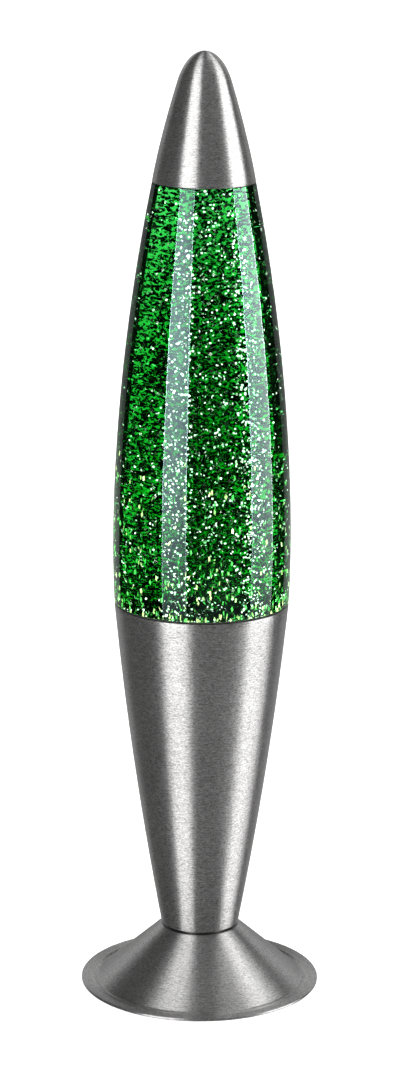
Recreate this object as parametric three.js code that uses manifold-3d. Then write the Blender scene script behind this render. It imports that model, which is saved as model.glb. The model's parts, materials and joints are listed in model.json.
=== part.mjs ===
// Glitter lamp: a rocket-shaped glass bottle of dyed liquid on a spun metal stand, lit from below
// by a small reflector bulb. Millimetres, +Z up. The origin is the centre of the rest plane.
import * as THREE from "three";
import { mergeVertices } from "three/addons/utils/BufferGeometryUtils.js";
import Module from "manifold-3d";

const wasm = await Module();
wasm.setup();

// ---- Driving dimensions ----

const GAP = 0.3; // between pieces that touch on the real lamp
const SHEET = 0.8; // wall of the spun metal shells
const HOOP = 32; // sides of the large round shells
const ROUND = 16; // sides of the small round pieces
const WIRE_SIDES = 6;

// Foot: a cone standing on a flat flange.
const FOOT_RIM_RADIUS = 53.65;
const FLANGE_INNER_RADIUS = 47;
const FLANGE_THICKNESS = 1;
const RIM_ROUNDING = 0.4;
const CONE_BOTTOM = { r: 45.6, z: 1.9 };
const CONE_TOP = { r: 17.1, z: 27.2 };

// Cup: a long inverted cone, slightly bulged, from the waist up to its lip.
const CUP_FLOOR_Z = CONE_TOP.z + GAP;
const CUP_WAIST_RADIUS = 17.5;
const CUP_BELLY = { r: 31.56, z: 103.6 };
const CUP_LIP = { r: 38.6, z: 177.2 };

// Bottle: widest just above the lip, narrowing to a shoulder under the cap.
const BOTTLE_BOTTOM_Z = 150;
const BOTTLE_STEP = { r: 38.65, z: 178.3 };
const BOTTLE_BELLY = { r: 43.9, z: 256.6 };
const BOTTLE_SHOULDER = { r: 22.5, z: 363.7 };
const BOTTLE_WALL = 2.6;
const BOTTLE_BASE_WALL = 4;
const BOTTLE_HEEL_HEIGHT = 12; // from its underside to where the wall runs straight
const NECK_RADIUS = 12.9;
const NECK_BORE_RADIUS = 8.2;
const NECK_BOTTOM_Z = 373;
const NECK_TOP_Z = 381;
const LIQUID_LEVEL_Z = 368;

// Cap: a bullet nose over the neck, resting on the shoulder.
const CAP_EDGE = { r: 22.5, z: 364.05 };
const CAP_SIDE = { r: 18.9, z: 383.6 };
const CAP_NOSE = { r: 11.4, z: 408 };
const CAP_TIP_Z = 420;
const CAP_TIP_FULLNESS = 3.6;
const CAP_NOSE_LEAN = { r: 3.07, z: 9 }; // direction in which the side runs into the nose

// Crown closure on the neck.
const CROWN_RADIUS = 14.6;
const CROWN_FLARE_RADIUS = 16.05;
const CROWN_HEIGHT = 6;
const CROWN_SHEET = 0.5;
const CROWN_LINER = 1;
const CROWN_SHOULDER_DROP = 1.8; // from the closure's top to the start of its waved skirt
const CROWN_FLUTES = 21;

// Threaded tube through the waist, with its nuts and washers.
const NIPPLE_RADIUS = 5;
const NIPPLE_BORE_RADIUS = 3.7;
const NIPPLE_Z = [17, 46];
const NUT_ACROSS_FLATS = 14;
const NUT_THICKNESS = 3;
const WASHER_RADIUS = 9;
const WASHER_THICKNESS = 1;

// Rubber ring in the cup's mouth.
const SEAT_RING_WALL = 1;
const SEAT_RING_BOTTOM_Z = 160;
const SEAT_LIP_THICKNESS = 0.5;

// Lampholder for a small Edison screw cap, E14.
const HOLDER_RADIUS = 12.6;
const HOLDER_WALL = 1.6;
const HOLDER_ENTRY_RADIUS = 7.6;
const HOLDER_ENTRY_Z = 36;
const HOLDER_SHOULDER_Z = 42;
const HOLDER_SPLIT_Z = 63.4;
const HOLDER_TOP_Z = 83.5;
const INSERT_Z = [57, 62];
const CONTACT_SLEEVE_RADIUS = 7.45;
const CONTACT_SLEEVE_BORE_RADIUS = 7.05;
const CONTACT_STRIP = { width: 3, thickness: 0.4 };

// Reflector bulb, 39 mm across, on an E14 cap.
const BULB_TIP_RADIUS = 1.9;
const BULB_TIP_Z = 66;
const BULB_TIP_HEIGHT = 2.6;
const BULB_INSULATOR_Z = [67.5, 71.5];
const BULB_CAP_Z = [70, 91];
const BULB_CAP_SHEET = 0.4;
const BULB_CAP_SCREW_RADIUS = 6.65;
const BULB_CAP_SKIRT_RADIUS = 8.5;
const BULB_CAP_SKIRT_Z = 84.5;
const BULB_NECK_RADIUS = 7.7;
const BULB_NECK_BOTTOM_Z = 88.5;
const BULB_RADIUS = 19.5;
const BULB_RIM_Z = 120;
const BULB_TOP_Z = 133;
const BULB_WALL = 0.7;
const STEM_Z = [88.7, 103.3];
const FILAMENT_RADIUS = 0.25;
const FILAMENT_HALF_WIDTH = 6;
const FILAMENT_HEIGHT = 9;

// Wiring inside the foot.
const LEAD_RADIUS = 1.1;
const LEAD_SPACING = 2.9;
const LEAD_END_X = 5;
const LEAD_HOLE_DEPTH = 2; // of the blind holes in the lampholder's insert
const BLOCK = { x: 16, y: 15, z: 10, centreY: -16, bottom: 2.9 };
const BLOCK_PITCH = 8; // between its two ways, and between the two screws of one way
const BLOCK_WIRE_HEIGHT = 4;
const BLOCK_SCREW = { headRadius: 2.4, shankRadius: 1.3, headHeight: 1.4, proud: 1.7 };
const TERMINAL_SCREW = { headRadius: 1.5, shankRadius: 1.5, headHeight: 1, proud: 0.2, length: 3 };
const INLET_Z = 10.5;
const INLET_RADIUS = 4.6;
const INLET_BORE_RADIUS = 3.2;
const INLET_COLLAR_RADIUS = 6.4;
const INLET_COLLAR = 1.2;
const COVER_RADIUS = 43.4;
const COVER_Z = [0.8, 2.3];
const COVER_WALL = { inner: 39, outer: 40.2, height: 1.2 };
const COVER_VENTS = 8;
const VENT = { length: 12, width: 2.6, radius: 30 };

const THROUGH = 30; // length of a cutting tool that has to pass right through a piece

// ---- Geometry helpers ----

const point = ({ r, z }) => new THREE.Vector2(r, z);
const at = (r, z) => new THREE.Vector2(r, z);

// Merges shared vertices, drops the collapsed triangles at a pole and turns the faces outward.
function closed(geometry) {
  const bare = geometry.index ? geometry.clone() : geometry;
  bare.deleteAttribute("normal");
  bare.deleteAttribute("uv");
  const merged = mergeVertices(bare, 1e-4);
  const p = merged.attributes.position;
  const index = [];
  let volume = 0;
  const corner = [new THREE.Vector3(), new THREE.Vector3(), new THREE.Vector3()];
  for (let i = 0; i < merged.index.count; i += 3) {
    const ids = [0, 1, 2].map((k) => merged.index.getX(i + k));
    if (new Set(ids).size < 3) continue;
    ids.forEach((id, k) => corner[k].fromBufferAttribute(p, id));
    volume += corner[0].dot(corner[1].cross(corner[2]));
    index.push(...ids);
  }
  if (volume < 0) index.reverse();
  merged.setIndex(index);
  return merged;
}

function toSolid(geometry) {
  const g = closed(geometry);
  const vertProperties = new Float32Array(g.attributes.position.array);
  const triVerts = new Uint32Array(g.index.array);
  return new wasm.Manifold(new wasm.Mesh({ numProp: 3, vertProperties, triVerts }));
}

function toGeometry(solid) {
  const mesh = solid.getMesh();
  const geometry = new THREE.BufferGeometry();
  geometry.setAttribute("position", new THREE.BufferAttribute(mesh.vertProperties, 3));
  geometry.setIndex(new THREE.BufferAttribute(mesh.triVerts, 1));
  return geometry;
}

// A closed outline in (radius, height) turned about the Z axis.
function turned(outline, sides = ROUND) {
  const open = outline[0].x > 0 || outline[outline.length - 1].x > 0;
  const loop = open ? [...outline, outline[0]] : outline;
  return closed(new THREE.LatheGeometry(loop, sides).rotateX(Math.PI / 2));
}

// A plain ring, or a disc when its inner radius is 0, between two heights.
function ring(inner, outer, bottom, top, sides = ROUND) {
  return turned([at(inner, bottom), at(outer, bottom), at(outer, top), at(inner, top)], sides);
}

// The same outline moved inward by a wall's thickness, square to each of its points.
function inset(outline, distance) {
  return outline.map((p, i) => {
    const before = outline[Math.max(i - 1, 0)];
    const after = outline[Math.min(i + 1, outline.length - 1)];
    const along = after.clone().sub(before).normalize();
    return at(Math.max(p.x - along.y * distance, 0), p.y + along.x * distance);
  });
}

const bend = (a, b, c, steps) => new THREE.QuadraticBezierCurve(a, b, c).getPoints(steps);
const doubleBend = (a, b, c, d, steps) => new THREE.CubicBezierCurve(a, b, c, d).getPoints(steps);

// A solid rod centred on the origin, along Y or along Z.
function rodY(radius, length = THROUGH) {
  return toSolid(new THREE.CylinderGeometry(radius, radius, length, ROUND));
}

function rodZ(radius, length = THROUGH) {
  return toSolid(new THREE.CylinderGeometry(radius, radius, length, ROUND).rotateX(Math.PI / 2));
}

function extruded(shape, depth) {
  return new THREE.ExtrudeGeometry(shape, { depth, bevelEnabled: false });
}

// A round wire along a smooth path.
function wire(points, radius, steps) {
  const section = new THREE.Shape();
  for (let i = 0; i < WIRE_SIDES; i += 1) {
    const angle = (i / WIRE_SIDES) * 2 * Math.PI;
    const place = [radius * Math.cos(angle), radius * Math.sin(angle)];
    if (i) section.lineTo(...place);
    else section.moveTo(...place);
  }
  const extrudePath = new THREE.CatmullRomCurve3(points);
  return closed(new THREE.ExtrudeGeometry(section, { steps, extrudePath, bevelEnabled: false }));
}

// ---- The group and its materials ----

const lamp = new THREE.Group();

const FINISHES = {
  spunAluminium: { color: 0x9a9a9c, roughness: 0.35, metalness: 1 },
  glass: { color: 0xdff5e4, roughness: 0.05, metalness: 0, transparent: true, opacity: 0.35 },
  liquid: { color: 0x0c9a22, roughness: 0.1, metalness: 0, transparent: true, opacity: 0.8 },
  zincSteel: { color: 0xb9bcc0, roughness: 0.35, metalness: 1 },
  brass: { color: 0xc9a24a, roughness: 0.35, metalness: 1 },
  solder: { color: 0xa9abad, roughness: 0.3, metalness: 1 },
  tungsten: { color: 0x4a4a4d, roughness: 0.5, metalness: 1 },
  blackPlastic: { color: 0x18181a, roughness: 0.45, metalness: 0 },
  blackRubber: { color: 0x101011, roughness: 0.8, metalness: 0 },
  linerPlastic: { color: 0xe6e6e0, roughness: 0.6, metalness: 0 },
  blockPlastic: { color: 0xe9e7dd, roughness: 0.5, metalness: 0 },
  ceramic: { color: 0xe6e2d8, roughness: 0.4, metalness: 0 },
  blackGlass: { color: 0x1b1820, roughness: 0.15, metalness: 0 },
  brownSleeve: { color: 0x6b3a1e, roughness: 0.5, metalness: 0 },
  blueSleeve: { color: 0x1f4fa0, roughness: 0.5, metalness: 0 },
};

function add(name, geometry, finish) {
  const mesh = new THREE.Mesh(geometry, new THREE.MeshStandardMaterial(FINISHES[finish]));
  mesh.name = name;
  lamp.add(mesh);
  return mesh;
}

// ---- Outlines that more than one piece follows ----

const cupSide = bend(
  at(CUP_WAIST_RADIUS, CUP_FLOOR_Z + 1),
  point(CUP_BELLY),
  at(CUP_LIP.r, CUP_LIP.z - SHEET / 2),
  6,
);

// Outer radius of the cup at a height, by straight lines between the outline's points.
function cupRadius(z) {
  const i = Math.max(cupSide.findIndex((p, k) => p.y >= z || k === cupSide.length - 1), 1);
  const [low, high] = [cupSide[i - 1], cupSide[i]];
  return low.x + ((high.x - low.x) * (z - low.y)) / (high.y - low.y);
}

// Outer radius of the foot's cone at a height, moved outward by a distance square to its wall.
const coneSlope = (CONE_BOTTOM.r - CONE_TOP.r) / (CONE_TOP.z - CONE_BOTTOM.z);
const coneStretch = Math.hypot(1, coneSlope);
const coneRadius = (z, out = 0) => CONE_TOP.r + (CONE_TOP.z - z) * coneSlope + out * coneStretch;

// A cone of material parallel to the foot's wall.
function coneLayer(out) {
  const low = CONE_BOTTOM.z - 4;
  const high = CONE_TOP.z - 4;
  const [lowRadius, highRadius] = [low, high].map((z) => coneRadius(z, out));
  return toSolid(turned([at(0, low), at(lowRadius, low), at(highRadius, high), at(0, high)], HOOP));
}

// ---- Stand ----

function footCone() {
  const ease = 0.5; // how far the cone's foot curves into the flange
  const outer = [
    at(CONE_TOP.r - RIM_ROUNDING, CONE_TOP.z),
    at(CONE_TOP.r, CONE_TOP.z - RIM_ROUNDING),
    point(CONE_BOTTOM),
    at(FLANGE_INNER_RADIUS - ease, FLANGE_THICKNESS + ease / 2),
    at(FLANGE_INNER_RADIUS + ease, FLANGE_THICKNESS),
    at(FOOT_RIM_RADIUS - RIM_ROUNDING, FLANGE_THICKNESS),
    at(FOOT_RIM_RADIUS, FLANGE_THICKNESS / 2),
    at(FOOT_RIM_RADIUS - RIM_ROUNDING, 0),
  ];
  const inner = [
    at(FLANGE_INNER_RADIUS, 0),
    at(FLANGE_INNER_RADIUS - 1.3, FLANGE_THICKNESS / 2),
    at(coneRadius(CONE_BOTTOM.z, -SHEET), CONE_BOTTOM.z),
    at(coneRadius(CONE_TOP.z - SHEET, -SHEET), CONE_TOP.z - SHEET),
    at(NIPPLE_RADIUS + GAP, CONE_TOP.z - SHEET),
    at(NIPPLE_RADIUS + GAP, CONE_TOP.z),
  ];
  const shell = toSolid(turned([...outer, ...inner], HOOP));
  const hole = rodY(INLET_RADIUS + GAP).translate([0, coneRadius(INLET_Z), INLET_Z]);
  return toGeometry(shell.subtract(hole));
}

// Bushing that lines the hole where the supply lead enters, with a collar on each face of the wall.
function inletGrommet() {
  const tubeLength = 9;
  const alongY = (radius, length) => rodY(radius, length).translate([0, coneRadius(INLET_Z), INLET_Z]);
  const collarRod = alongY(INLET_COLLAR_RADIUS);
  const outerCollar = collarRod.intersect(coneLayer(GAP + INLET_COLLAR)).subtract(coneLayer(GAP));
  const innerCollar = collarRod
    .intersect(coneLayer(-SHEET - GAP))
    .subtract(coneLayer(-SHEET - GAP - INLET_COLLAR));
  const body = alongY(INLET_RADIUS, tubeLength).add(outerCollar).add(innerCollar);
  return toGeometry(body.subtract(alongY(INLET_BORE_RADIUS)));
}

// Disc that closes the foot, with a stiffening wall, vents and a hole for the terminal block's screw.
function bottomCover() {
  const wallTop = COVER_Z[1] + COVER_WALL.height;
  const outline = [
    at(0, COVER_Z[0]),
    at(COVER_RADIUS, COVER_Z[0]),
    at(COVER_RADIUS, COVER_Z[1]),
    at(COVER_WALL.outer, COVER_Z[1]),
    at(COVER_WALL.outer, wallTop),
    at(COVER_WALL.inner, wallTop),
    at(COVER_WALL.inner, COVER_Z[1]),
    at(0, COVER_Z[1]),
  ];
  let cover = toSolid(turned(outline, HOOP));
  for (let i = 0; i < COVER_VENTS; i += 1) {
    const turn = ((i + 0.5) * 360) / COVER_VENTS;
    const slot = toSolid(new THREE.BoxGeometry(VENT.length, VENT.width, THROUGH));
    cover = cover.subtract(slot.translate([VENT.radius, 0, 0]).rotate([0, 0, turn]));
  }
  const screwHole = rodZ(BLOCK_SCREW.shankRadius + GAP).translate([0, BLOCK.centreY, 0]);
  return toGeometry(cover.subtract(screwHole));
}

function baseCup() {
  const cornerSize = 1.3;
  const corner = bend(
    at(CUP_WAIST_RADIUS - cornerSize, CUP_FLOOR_Z),
    at(CUP_WAIST_RADIUS, CUP_FLOOR_Z),
    cupSide[0],
    3,
  );
  const inner = inset(cupSide, SHEET).reverse().slice(0, -1);
  const floorTop = CUP_FLOOR_Z + SHEET;
  return turned(
    [
      ...corner,
      ...cupSide.slice(1),
      at(CUP_LIP.r - SHEET / 2, CUP_LIP.z),
      ...inner,
      at(CUP_WAIST_RADIUS - cornerSize, floorTop),
      at(NIPPLE_RADIUS + GAP, floorTop),
      at(NIPPLE_RADIUS + GAP, CUP_FLOOR_Z),
    ],
    HOOP,
  );
}

// Tapered rubber ring that lines the cup's mouth, with a thin lip between the metal and the glass.
function seatRing() {
  const outerAt = (z) => cupRadius(z) - SHEET - GAP;
  const innerAt = (z) => outerAt(z) - SEAT_RING_WALL;
  const lipBottom = CUP_LIP.z + GAP;
  const lipTop = lipBottom + SEAT_LIP_THICKNESS;
  const lipRadius = CUP_LIP.r - SHEET / 2;
  const top = CUP_LIP.z - SHEET;
  return turned(
    [
      at(innerAt(SEAT_RING_BOTTOM_Z), SEAT_RING_BOTTOM_Z),
      at(outerAt(SEAT_RING_BOTTOM_Z), SEAT_RING_BOTTOM_Z),
      at(outerAt(top), top),
      at(outerAt(top), lipBottom),
      at(lipRadius, lipBottom),
      at(lipRadius, lipTop),
      at(innerAt(top), lipTop),
      at(innerAt(top), top),
    ],
    HOOP,
  );
}

// ---- Fixings through the waist ----

function nipple() {
  return ring(NIPPLE_BORE_RADIUS, NIPPLE_RADIUS, NIPPLE_Z[0], NIPPLE_Z[1]);
}

function hexNut(bottom) {
  const shape = new THREE.Shape();
  const cornerRadius = NUT_ACROSS_FLATS / Math.sqrt(3);
  for (let i = 0; i < 6; i += 1) {
    const angle = (i * Math.PI) / 3;
    const place = [cornerRadius * Math.cos(angle), cornerRadius * Math.sin(angle)];
    if (i) shape.lineTo(...place);
    else shape.moveTo(...place);
  }
  const hole = toSolid(ring(0, NIPPLE_RADIUS + GAP, -1, NUT_THICKNESS + 1));
  return toGeometry(toSolid(extruded(shape, NUT_THICKNESS)).subtract(hole).translate([0, 0, bottom]));
}

const washer = (bottom) => ring(NIPPLE_RADIUS + GAP, WASHER_RADIUS, bottom, bottom + WASHER_THICKNESS);

// ---- Lampholder ----

function holderBase() {
  const domeTop = HOLDER_SHOULDER_Z + 5;
  const floorTop = HOLDER_SHOULDER_Z + 2;
  const inner = HOLDER_RADIUS - HOLDER_WALL;
  return turned([
    at(NIPPLE_RADIUS + GAP, HOLDER_ENTRY_Z),
    at(HOLDER_ENTRY_RADIUS, HOLDER_ENTRY_Z),
    ...bend(
      at(HOLDER_ENTRY_RADIUS, HOLDER_SHOULDER_Z - 1),
      at(HOLDER_RADIUS, HOLDER_SHOULDER_Z - 1),
      at(HOLDER_RADIUS, domeTop),
      4,
    ),
    at(HOLDER_RADIUS, HOLDER_SPLIT_Z - GAP),
    at(inner, HOLDER_SPLIT_Z - GAP),
    at(inner, domeTop),
    at(inner - 3, floorTop),
    at(NIPPLE_RADIUS + GAP, floorTop),
  ]);
}

function holderSkirt() {
  const grooves = 3;
  const grooveHeight = 2.4;
  const grooveDepth = 0.6;
  const slant = 0.4;
  const inner = HOLDER_RADIUS - HOLDER_WALL;
  const outline = [at(inner, HOLDER_SPLIT_Z), at(HOLDER_RADIUS, HOLDER_SPLIT_Z)];
  for (let i = 0; i < grooves; i += 1) {
    const bottom = HOLDER_SPLIT_Z + 4 + i * 2 * grooveHeight;
    const top = bottom + grooveHeight;
    outline.push(at(HOLDER_RADIUS, bottom), at(HOLDER_RADIUS - grooveDepth, bottom + slant));
    outline.push(at(HOLDER_RADIUS - grooveDepth, top), at(HOLDER_RADIUS, top + slant));
  }
  const mouth = CONTACT_SLEEVE_RADIUS + GAP;
  outline.push(at(HOLDER_RADIUS - slant, HOLDER_TOP_Z), at(mouth, HOLDER_TOP_Z));
  outline.push(at(mouth, HOLDER_TOP_Z - 2), at(inner, HOLDER_TOP_Z - 3.5));
  return turned(outline);
}

// Disc that carries the two contacts, with a blind hole in its underside for each lead.
function holderInsert() {
  const radius = HOLDER_RADIUS - HOLDER_WALL - GAP;
  let insert = toSolid(ring(0, radius, INSERT_Z[0], INSERT_Z[1]));
  for (const side of [-1, 1]) {
    const hole = rodZ(LEAD_RADIUS + GAP, 2 * LEAD_HOLE_DEPTH);
    insert = insert.subtract(hole.translate([side * LEAD_END_X, 0, INSERT_Z[0]]));
  }
  return toGeometry(insert);
}

// Threaded metal sleeve that the bulb's cap screws into, closed below except for the centre contact.
function screwContact() {
  const sheet = CONTACT_SLEEVE_RADIUS - CONTACT_SLEEVE_BORE_RADIUS;
  const holeRadius = 4.2;
  const floor = INSERT_Z[1] + GAP;
  const top = HOLDER_TOP_Z - 1;
  return turned([
    at(holeRadius, floor),
    at(CONTACT_SLEEVE_RADIUS, floor),
    at(CONTACT_SLEEVE_RADIUS, top),
    at(CONTACT_SLEEVE_BORE_RADIUS, top),
    at(CONTACT_SLEEVE_BORE_RADIUS, floor + sheet),
    at(holeRadius, floor + sheet),
  ]);
}

// Bent strip that presses up on the bulb's tip.
function centreContact() {
  const [foot, top] = [INSERT_Z[1] + GAP, BULB_TIP_Z - GAP];
  const { width, thickness } = CONTACT_STRIP;
  const shape = new THREE.Shape();
  shape.moveTo(-3, foot);
  shape.lineTo(1, foot);
  shape.quadraticCurveTo(3.6, foot + 1.2, 1.2, top - 0.2);
  shape.lineTo(-1.8, top);
  shape.lineTo(-1.8, top - thickness);
  shape.lineTo(0.9, top - thickness - 0.2);
  shape.quadraticCurveTo(2.7, foot + 1.3, 0.8, foot + thickness);
  shape.lineTo(-3, foot + thickness);
  const strip = new THREE.ExtrudeGeometry(shape, { depth: width, bevelEnabled: false, curveSegments: 5 });
  return closed(strip.rotateX(Math.PI / 2).translate(0, width / 2, 0));
}

// ---- Bulb ----

// Screw shell and the wider skirt that holds the glass, in one drawn sleeve.
function bulbCap() {
  const [bottom, top] = BULB_CAP_Z;
  const sheet = BULB_CAP_SHEET;
  const mouthRadius = BULB_CAP_SCREW_RADIUS - 1.6;
  const flare = 2; // height over which the screw shell widens to the skirt
  return turned([
    at(mouthRadius, bottom),
    at(BULB_CAP_SCREW_RADIUS, bottom + 1),
    at(BULB_CAP_SCREW_RADIUS, BULB_CAP_SKIRT_Z),
    at(BULB_CAP_SKIRT_RADIUS, BULB_CAP_SKIRT_Z + flare),
    at(BULB_CAP_SKIRT_RADIUS, top),
    at(BULB_CAP_SKIRT_RADIUS - sheet, top),
    at(BULB_CAP_SKIRT_RADIUS - sheet, BULB_CAP_SKIRT_Z + flare + sheet),
    at(BULB_CAP_SCREW_RADIUS - sheet, BULB_CAP_SKIRT_Z + sheet),
    at(BULB_CAP_SCREW_RADIUS - sheet, bottom + 1 + sheet),
    at(mouthRadius, bottom + sheet),
  ]);
}

// Ring of black glass between the screw shell and the tip contact.
function bulbInsulator() {
  const [bottom, top] = BULB_INSULATOR_Z;
  const bore = BULB_TIP_RADIUS + GAP;
  const radius = BULB_CAP_SCREW_RADIUS - 2;
  return turned([at(bore, bottom), at(3, bottom), at(radius, bottom + 2.2), at(radius, top), at(bore, top)]);
}

function bulbTip() {
  const top = BULB_TIP_Z + BULB_TIP_HEIGHT;
  return turned([
    at(0, BULB_TIP_Z),
    at(BULB_TIP_RADIUS - 0.7, BULB_TIP_Z + 0.2),
    at(BULB_TIP_RADIUS, BULB_TIP_Z + 0.9),
    at(BULB_TIP_RADIUS, top),
    at(0, top),
  ]);
}

// Parabolic reflector and shallow domed front in one blown shell, open at the neck.
function bulbGlass() {
  const neckTop = BULB_CAP_Z[1] + 5;
  const reflectorEnd = at(BULB_RADIUS - 0.3, BULB_RIM_Z - 2);
  const frontStart = at(BULB_RADIUS - 0.4, BULB_RIM_Z + 3);
  const outer = [
    at(BULB_NECK_RADIUS, BULB_NECK_BOTTOM_Z),
    ...bend(at(BULB_NECK_RADIUS, neckTop), at(BULB_RADIUS - 4.5, neckTop + 10), reflectorEnd, 5),
    at(BULB_RADIUS, BULB_RIM_Z),
    ...bend(frontStart, at(BULB_RADIUS - 5.5, BULB_TOP_Z), at(0, BULB_TOP_Z), 4),
  ];
  const inner = inset(outer, BULB_WALL);
  inner[0] = at(BULB_NECK_RADIUS - BULB_WALL, BULB_NECK_BOTTOM_Z);
  inner[inner.length - 1] = at(0, BULB_TOP_Z - BULB_WALL);
  return turned([...inner.reverse(), ...outer], 24);
}

// Glass stem that carries the filament's wires.
function bulbStem() {
  const [foot, top] = STEM_Z;
  const flare = BULB_NECK_RADIUS - BULB_WALL - GAP;
  const stemRadius = 2;
  return turned([
    at(0, foot),
    at(flare, foot),
    at(flare, foot + 0.8),
    at(stemRadius + 0.6, foot + 3),
    at(stemRadius, top - 0.6),
    at(0, top),
  ]);
}

// Filament and its two support wires, as one wire that rises from the stem, arcs over and returns.
function bulbFilament() {
  const stemTop = STEM_Z[1];
  const half = FILAMENT_HALF_WIDTH;
  const top = stemTop + FILAMENT_HEIGHT;
  const path = [
    new THREE.Vector3(-1.2, 0, stemTop + 0.4),
    new THREE.Vector3(-3, 0, stemTop + 3),
    new THREE.Vector3(-half, 0, top - 1),
    new THREE.Vector3(-half + 1.5, 1, top),
    new THREE.Vector3(0, 2, top + 0.4),
    new THREE.Vector3(half - 1.5, 1, top),
    new THREE.Vector3(half, 0, top - 1),
    new THREE.Vector3(3, 0, stemTop + 3),
    new THREE.Vector3(1.2, 0, stemTop + 0.4),
  ];
  return wire(path, FILAMENT_RADIUS, 22);
}

// ---- Bottle ----

// Outer radius of the bottle's lower end, inside the seat ring.
const plugRadius = (z) => cupRadius(z) - SHEET - SEAT_RING_WALL - 2.5 * GAP;

const bottleSide = doubleBend(
  point(BOTTLE_STEP),
  at(BOTTLE_STEP.r + 0.1, BOTTLE_STEP.z + 1.2),
  point(BOTTLE_BELLY),
  point(BOTTLE_SHOULDER),
  10,
);
const bottleShoulder = bend(
  at(BOTTLE_SHOULDER.r - SHEET - 2 * GAP, BOTTLE_SHOULDER.z + 0.1),
  at(BOTTLE_SHOULDER.r - 3, NECK_BOTTOM_Z - 1),
  at(NECK_RADIUS, NECK_BOTTOM_Z),
  4,
);

function bottleGlass() {
  const heelSize = 5;
  const heel = bend(
    at(plugRadius(BOTTLE_BOTTOM_Z) - heelSize, BOTTLE_BOTTOM_Z),
    at(plugRadius(BOTTLE_BOTTOM_Z), BOTTLE_BOTTOM_Z),
    at(plugRadius(BOTTLE_BOTTOM_Z + heelSize), BOTTLE_BOTTOM_Z + heelSize),
    3,
  );
  const stepInner = at(plugRadius(CUP_LIP.z), BOTTLE_STEP.z);
  const outside = [at(0, BOTTLE_BOTTOM_Z), ...heel, stepInner, ...bottleSide, ...bottleShoulder];
  const lipRounding = 0.6;
  const lip = [
    at(NECK_RADIUS, NECK_TOP_Z - lipRounding),
    at(NECK_RADIUS - lipRounding, NECK_TOP_Z),
    at(NECK_BORE_RADIUS, NECK_TOP_Z),
  ];
  return turned([...outside, ...lip, ...cavity().reverse()], HOOP);
}

// Inside of the bottle, from the middle of its floor up to the bore of the neck.
function cavity() {
  const wall = [...bottleSide, ...bottleShoulder.slice(1, -1)];
  const heelTop = BOTTLE_BOTTOM_Z + BOTTLE_HEEL_HEIGHT;
  const lower = at(plugRadius(heelTop) - BOTTLE_WALL, heelTop);
  const floor = BOTTLE_BOTTOM_Z + BOTTLE_BASE_WALL;
  const corner = bend(at(lower.x - 8, floor), at(lower.x - 2, floor), lower, 3);
  const side = inset(wall, BOTTLE_WALL).filter((p, i) => i % 2 === 1);
  return [at(0, floor), ...corner, ...side, at(NECK_BORE_RADIUS, NECK_BOTTOM_Z - 1)];
}

// Dyed liquid that fills the bottle up to the shoulder.
function liquid() {
  const wet = cavity().filter((p) => p.y < LIQUID_LEVEL_Z);
  const outline = inset(wet, 2 * GAP);
  outline[0] = at(0, wet[0].y + GAP);
  outline[1].y = wet[0].y + GAP;
  const surfaceRadius = wet[wet.length - 1].x - 3;
  return turned([...outline, at(surfaceRadius, LIQUID_LEVEL_Z), at(0, LIQUID_LEVEL_Z)], HOOP);
}

// Pressed metal closure whose skirt waves in and out around the rim.
function crownClosure() {
  const dish = 0.2; // how far the flat's edge lies below its middle
  const top = NECK_TOP_Z + 2 * GAP + CROWN_LINER + CROWN_SHEET + dish;
  const bottom = top - CROWN_HEIGHT;
  const skirtTop = top - CROWN_SHOULDER_DROP;
  const waveDepth = 0.35;
  const skirtRadius = CROWN_FLARE_RADIUS - waveDepth;
  const flatRadius = CROWN_RADIUS - 1.4;
  const crown = turned(
    [
      at(0, top),
      at(flatRadius, top - dish),
      at(CROWN_RADIUS, skirtTop),
      at(skirtRadius, bottom),
      at(skirtRadius - CROWN_SHEET, bottom),
      at(CROWN_RADIUS - CROWN_SHEET, skirtTop),
      at(flatRadius - CROWN_SHEET, top - CROWN_SHEET - dish),
      at(0, top - CROWN_SHEET),
    ],
    CROWN_FLUTES * 2,
  );
  const p = crown.attributes.position;
  for (let i = 0; i < p.count; i += 1) {
    const [x, y, z] = [p.getX(i), p.getY(i), p.getZ(i)];
    const share = Math.max(0, (skirtTop - z) / (skirtTop - bottom));
    const wave = share * waveDepth * Math.cos(CROWN_FLUTES * Math.atan2(y, x));
    const stretch = 1 + wave / Math.max(Math.hypot(x, y), 1);
    p.setXY(i, x * stretch, y * stretch);
  }
  return crown;
}

const crownLiner = () => ring(0, NECK_RADIUS - 0.5, NECK_TOP_Z + GAP, NECK_TOP_Z + GAP + CROWN_LINER);

// ---- Cap ----

function rocketCap() {
  const side = bend(point(CAP_EDGE), point(CAP_SIDE), point(CAP_NOSE), 5);
  const nose = doubleBend(
    point(CAP_NOSE),
    at(CAP_NOSE.r - CAP_NOSE_LEAN.r, CAP_NOSE.z + CAP_NOSE_LEAN.z),
    at(CAP_TIP_FULLNESS, CAP_TIP_Z),
    at(0, CAP_TIP_Z),
    5,
  );
  const outer = [...side, ...nose.slice(1)];
  const inner = inset(outer, SHEET);
  inner[0] = at(CAP_EDGE.r - SHEET, CAP_EDGE.z);
  inner[inner.length - 1] = at(0, CAP_TIP_Z - SHEET);
  return turned([...inner.reverse(), ...outer], HOOP);
}

// ---- Wiring ----

const blockTop = BLOCK.bottom + BLOCK.z;

// The four places of the terminal screws: two ways, each with a screw at both ends.
const terminals = [-1, 1].flatMap((side) =>
  [-1, 1].map((end) => ({ x: (side * BLOCK_PITCH) / 2, y: BLOCK.centreY + (end * BLOCK_PITCH) / 2 })),
);

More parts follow.
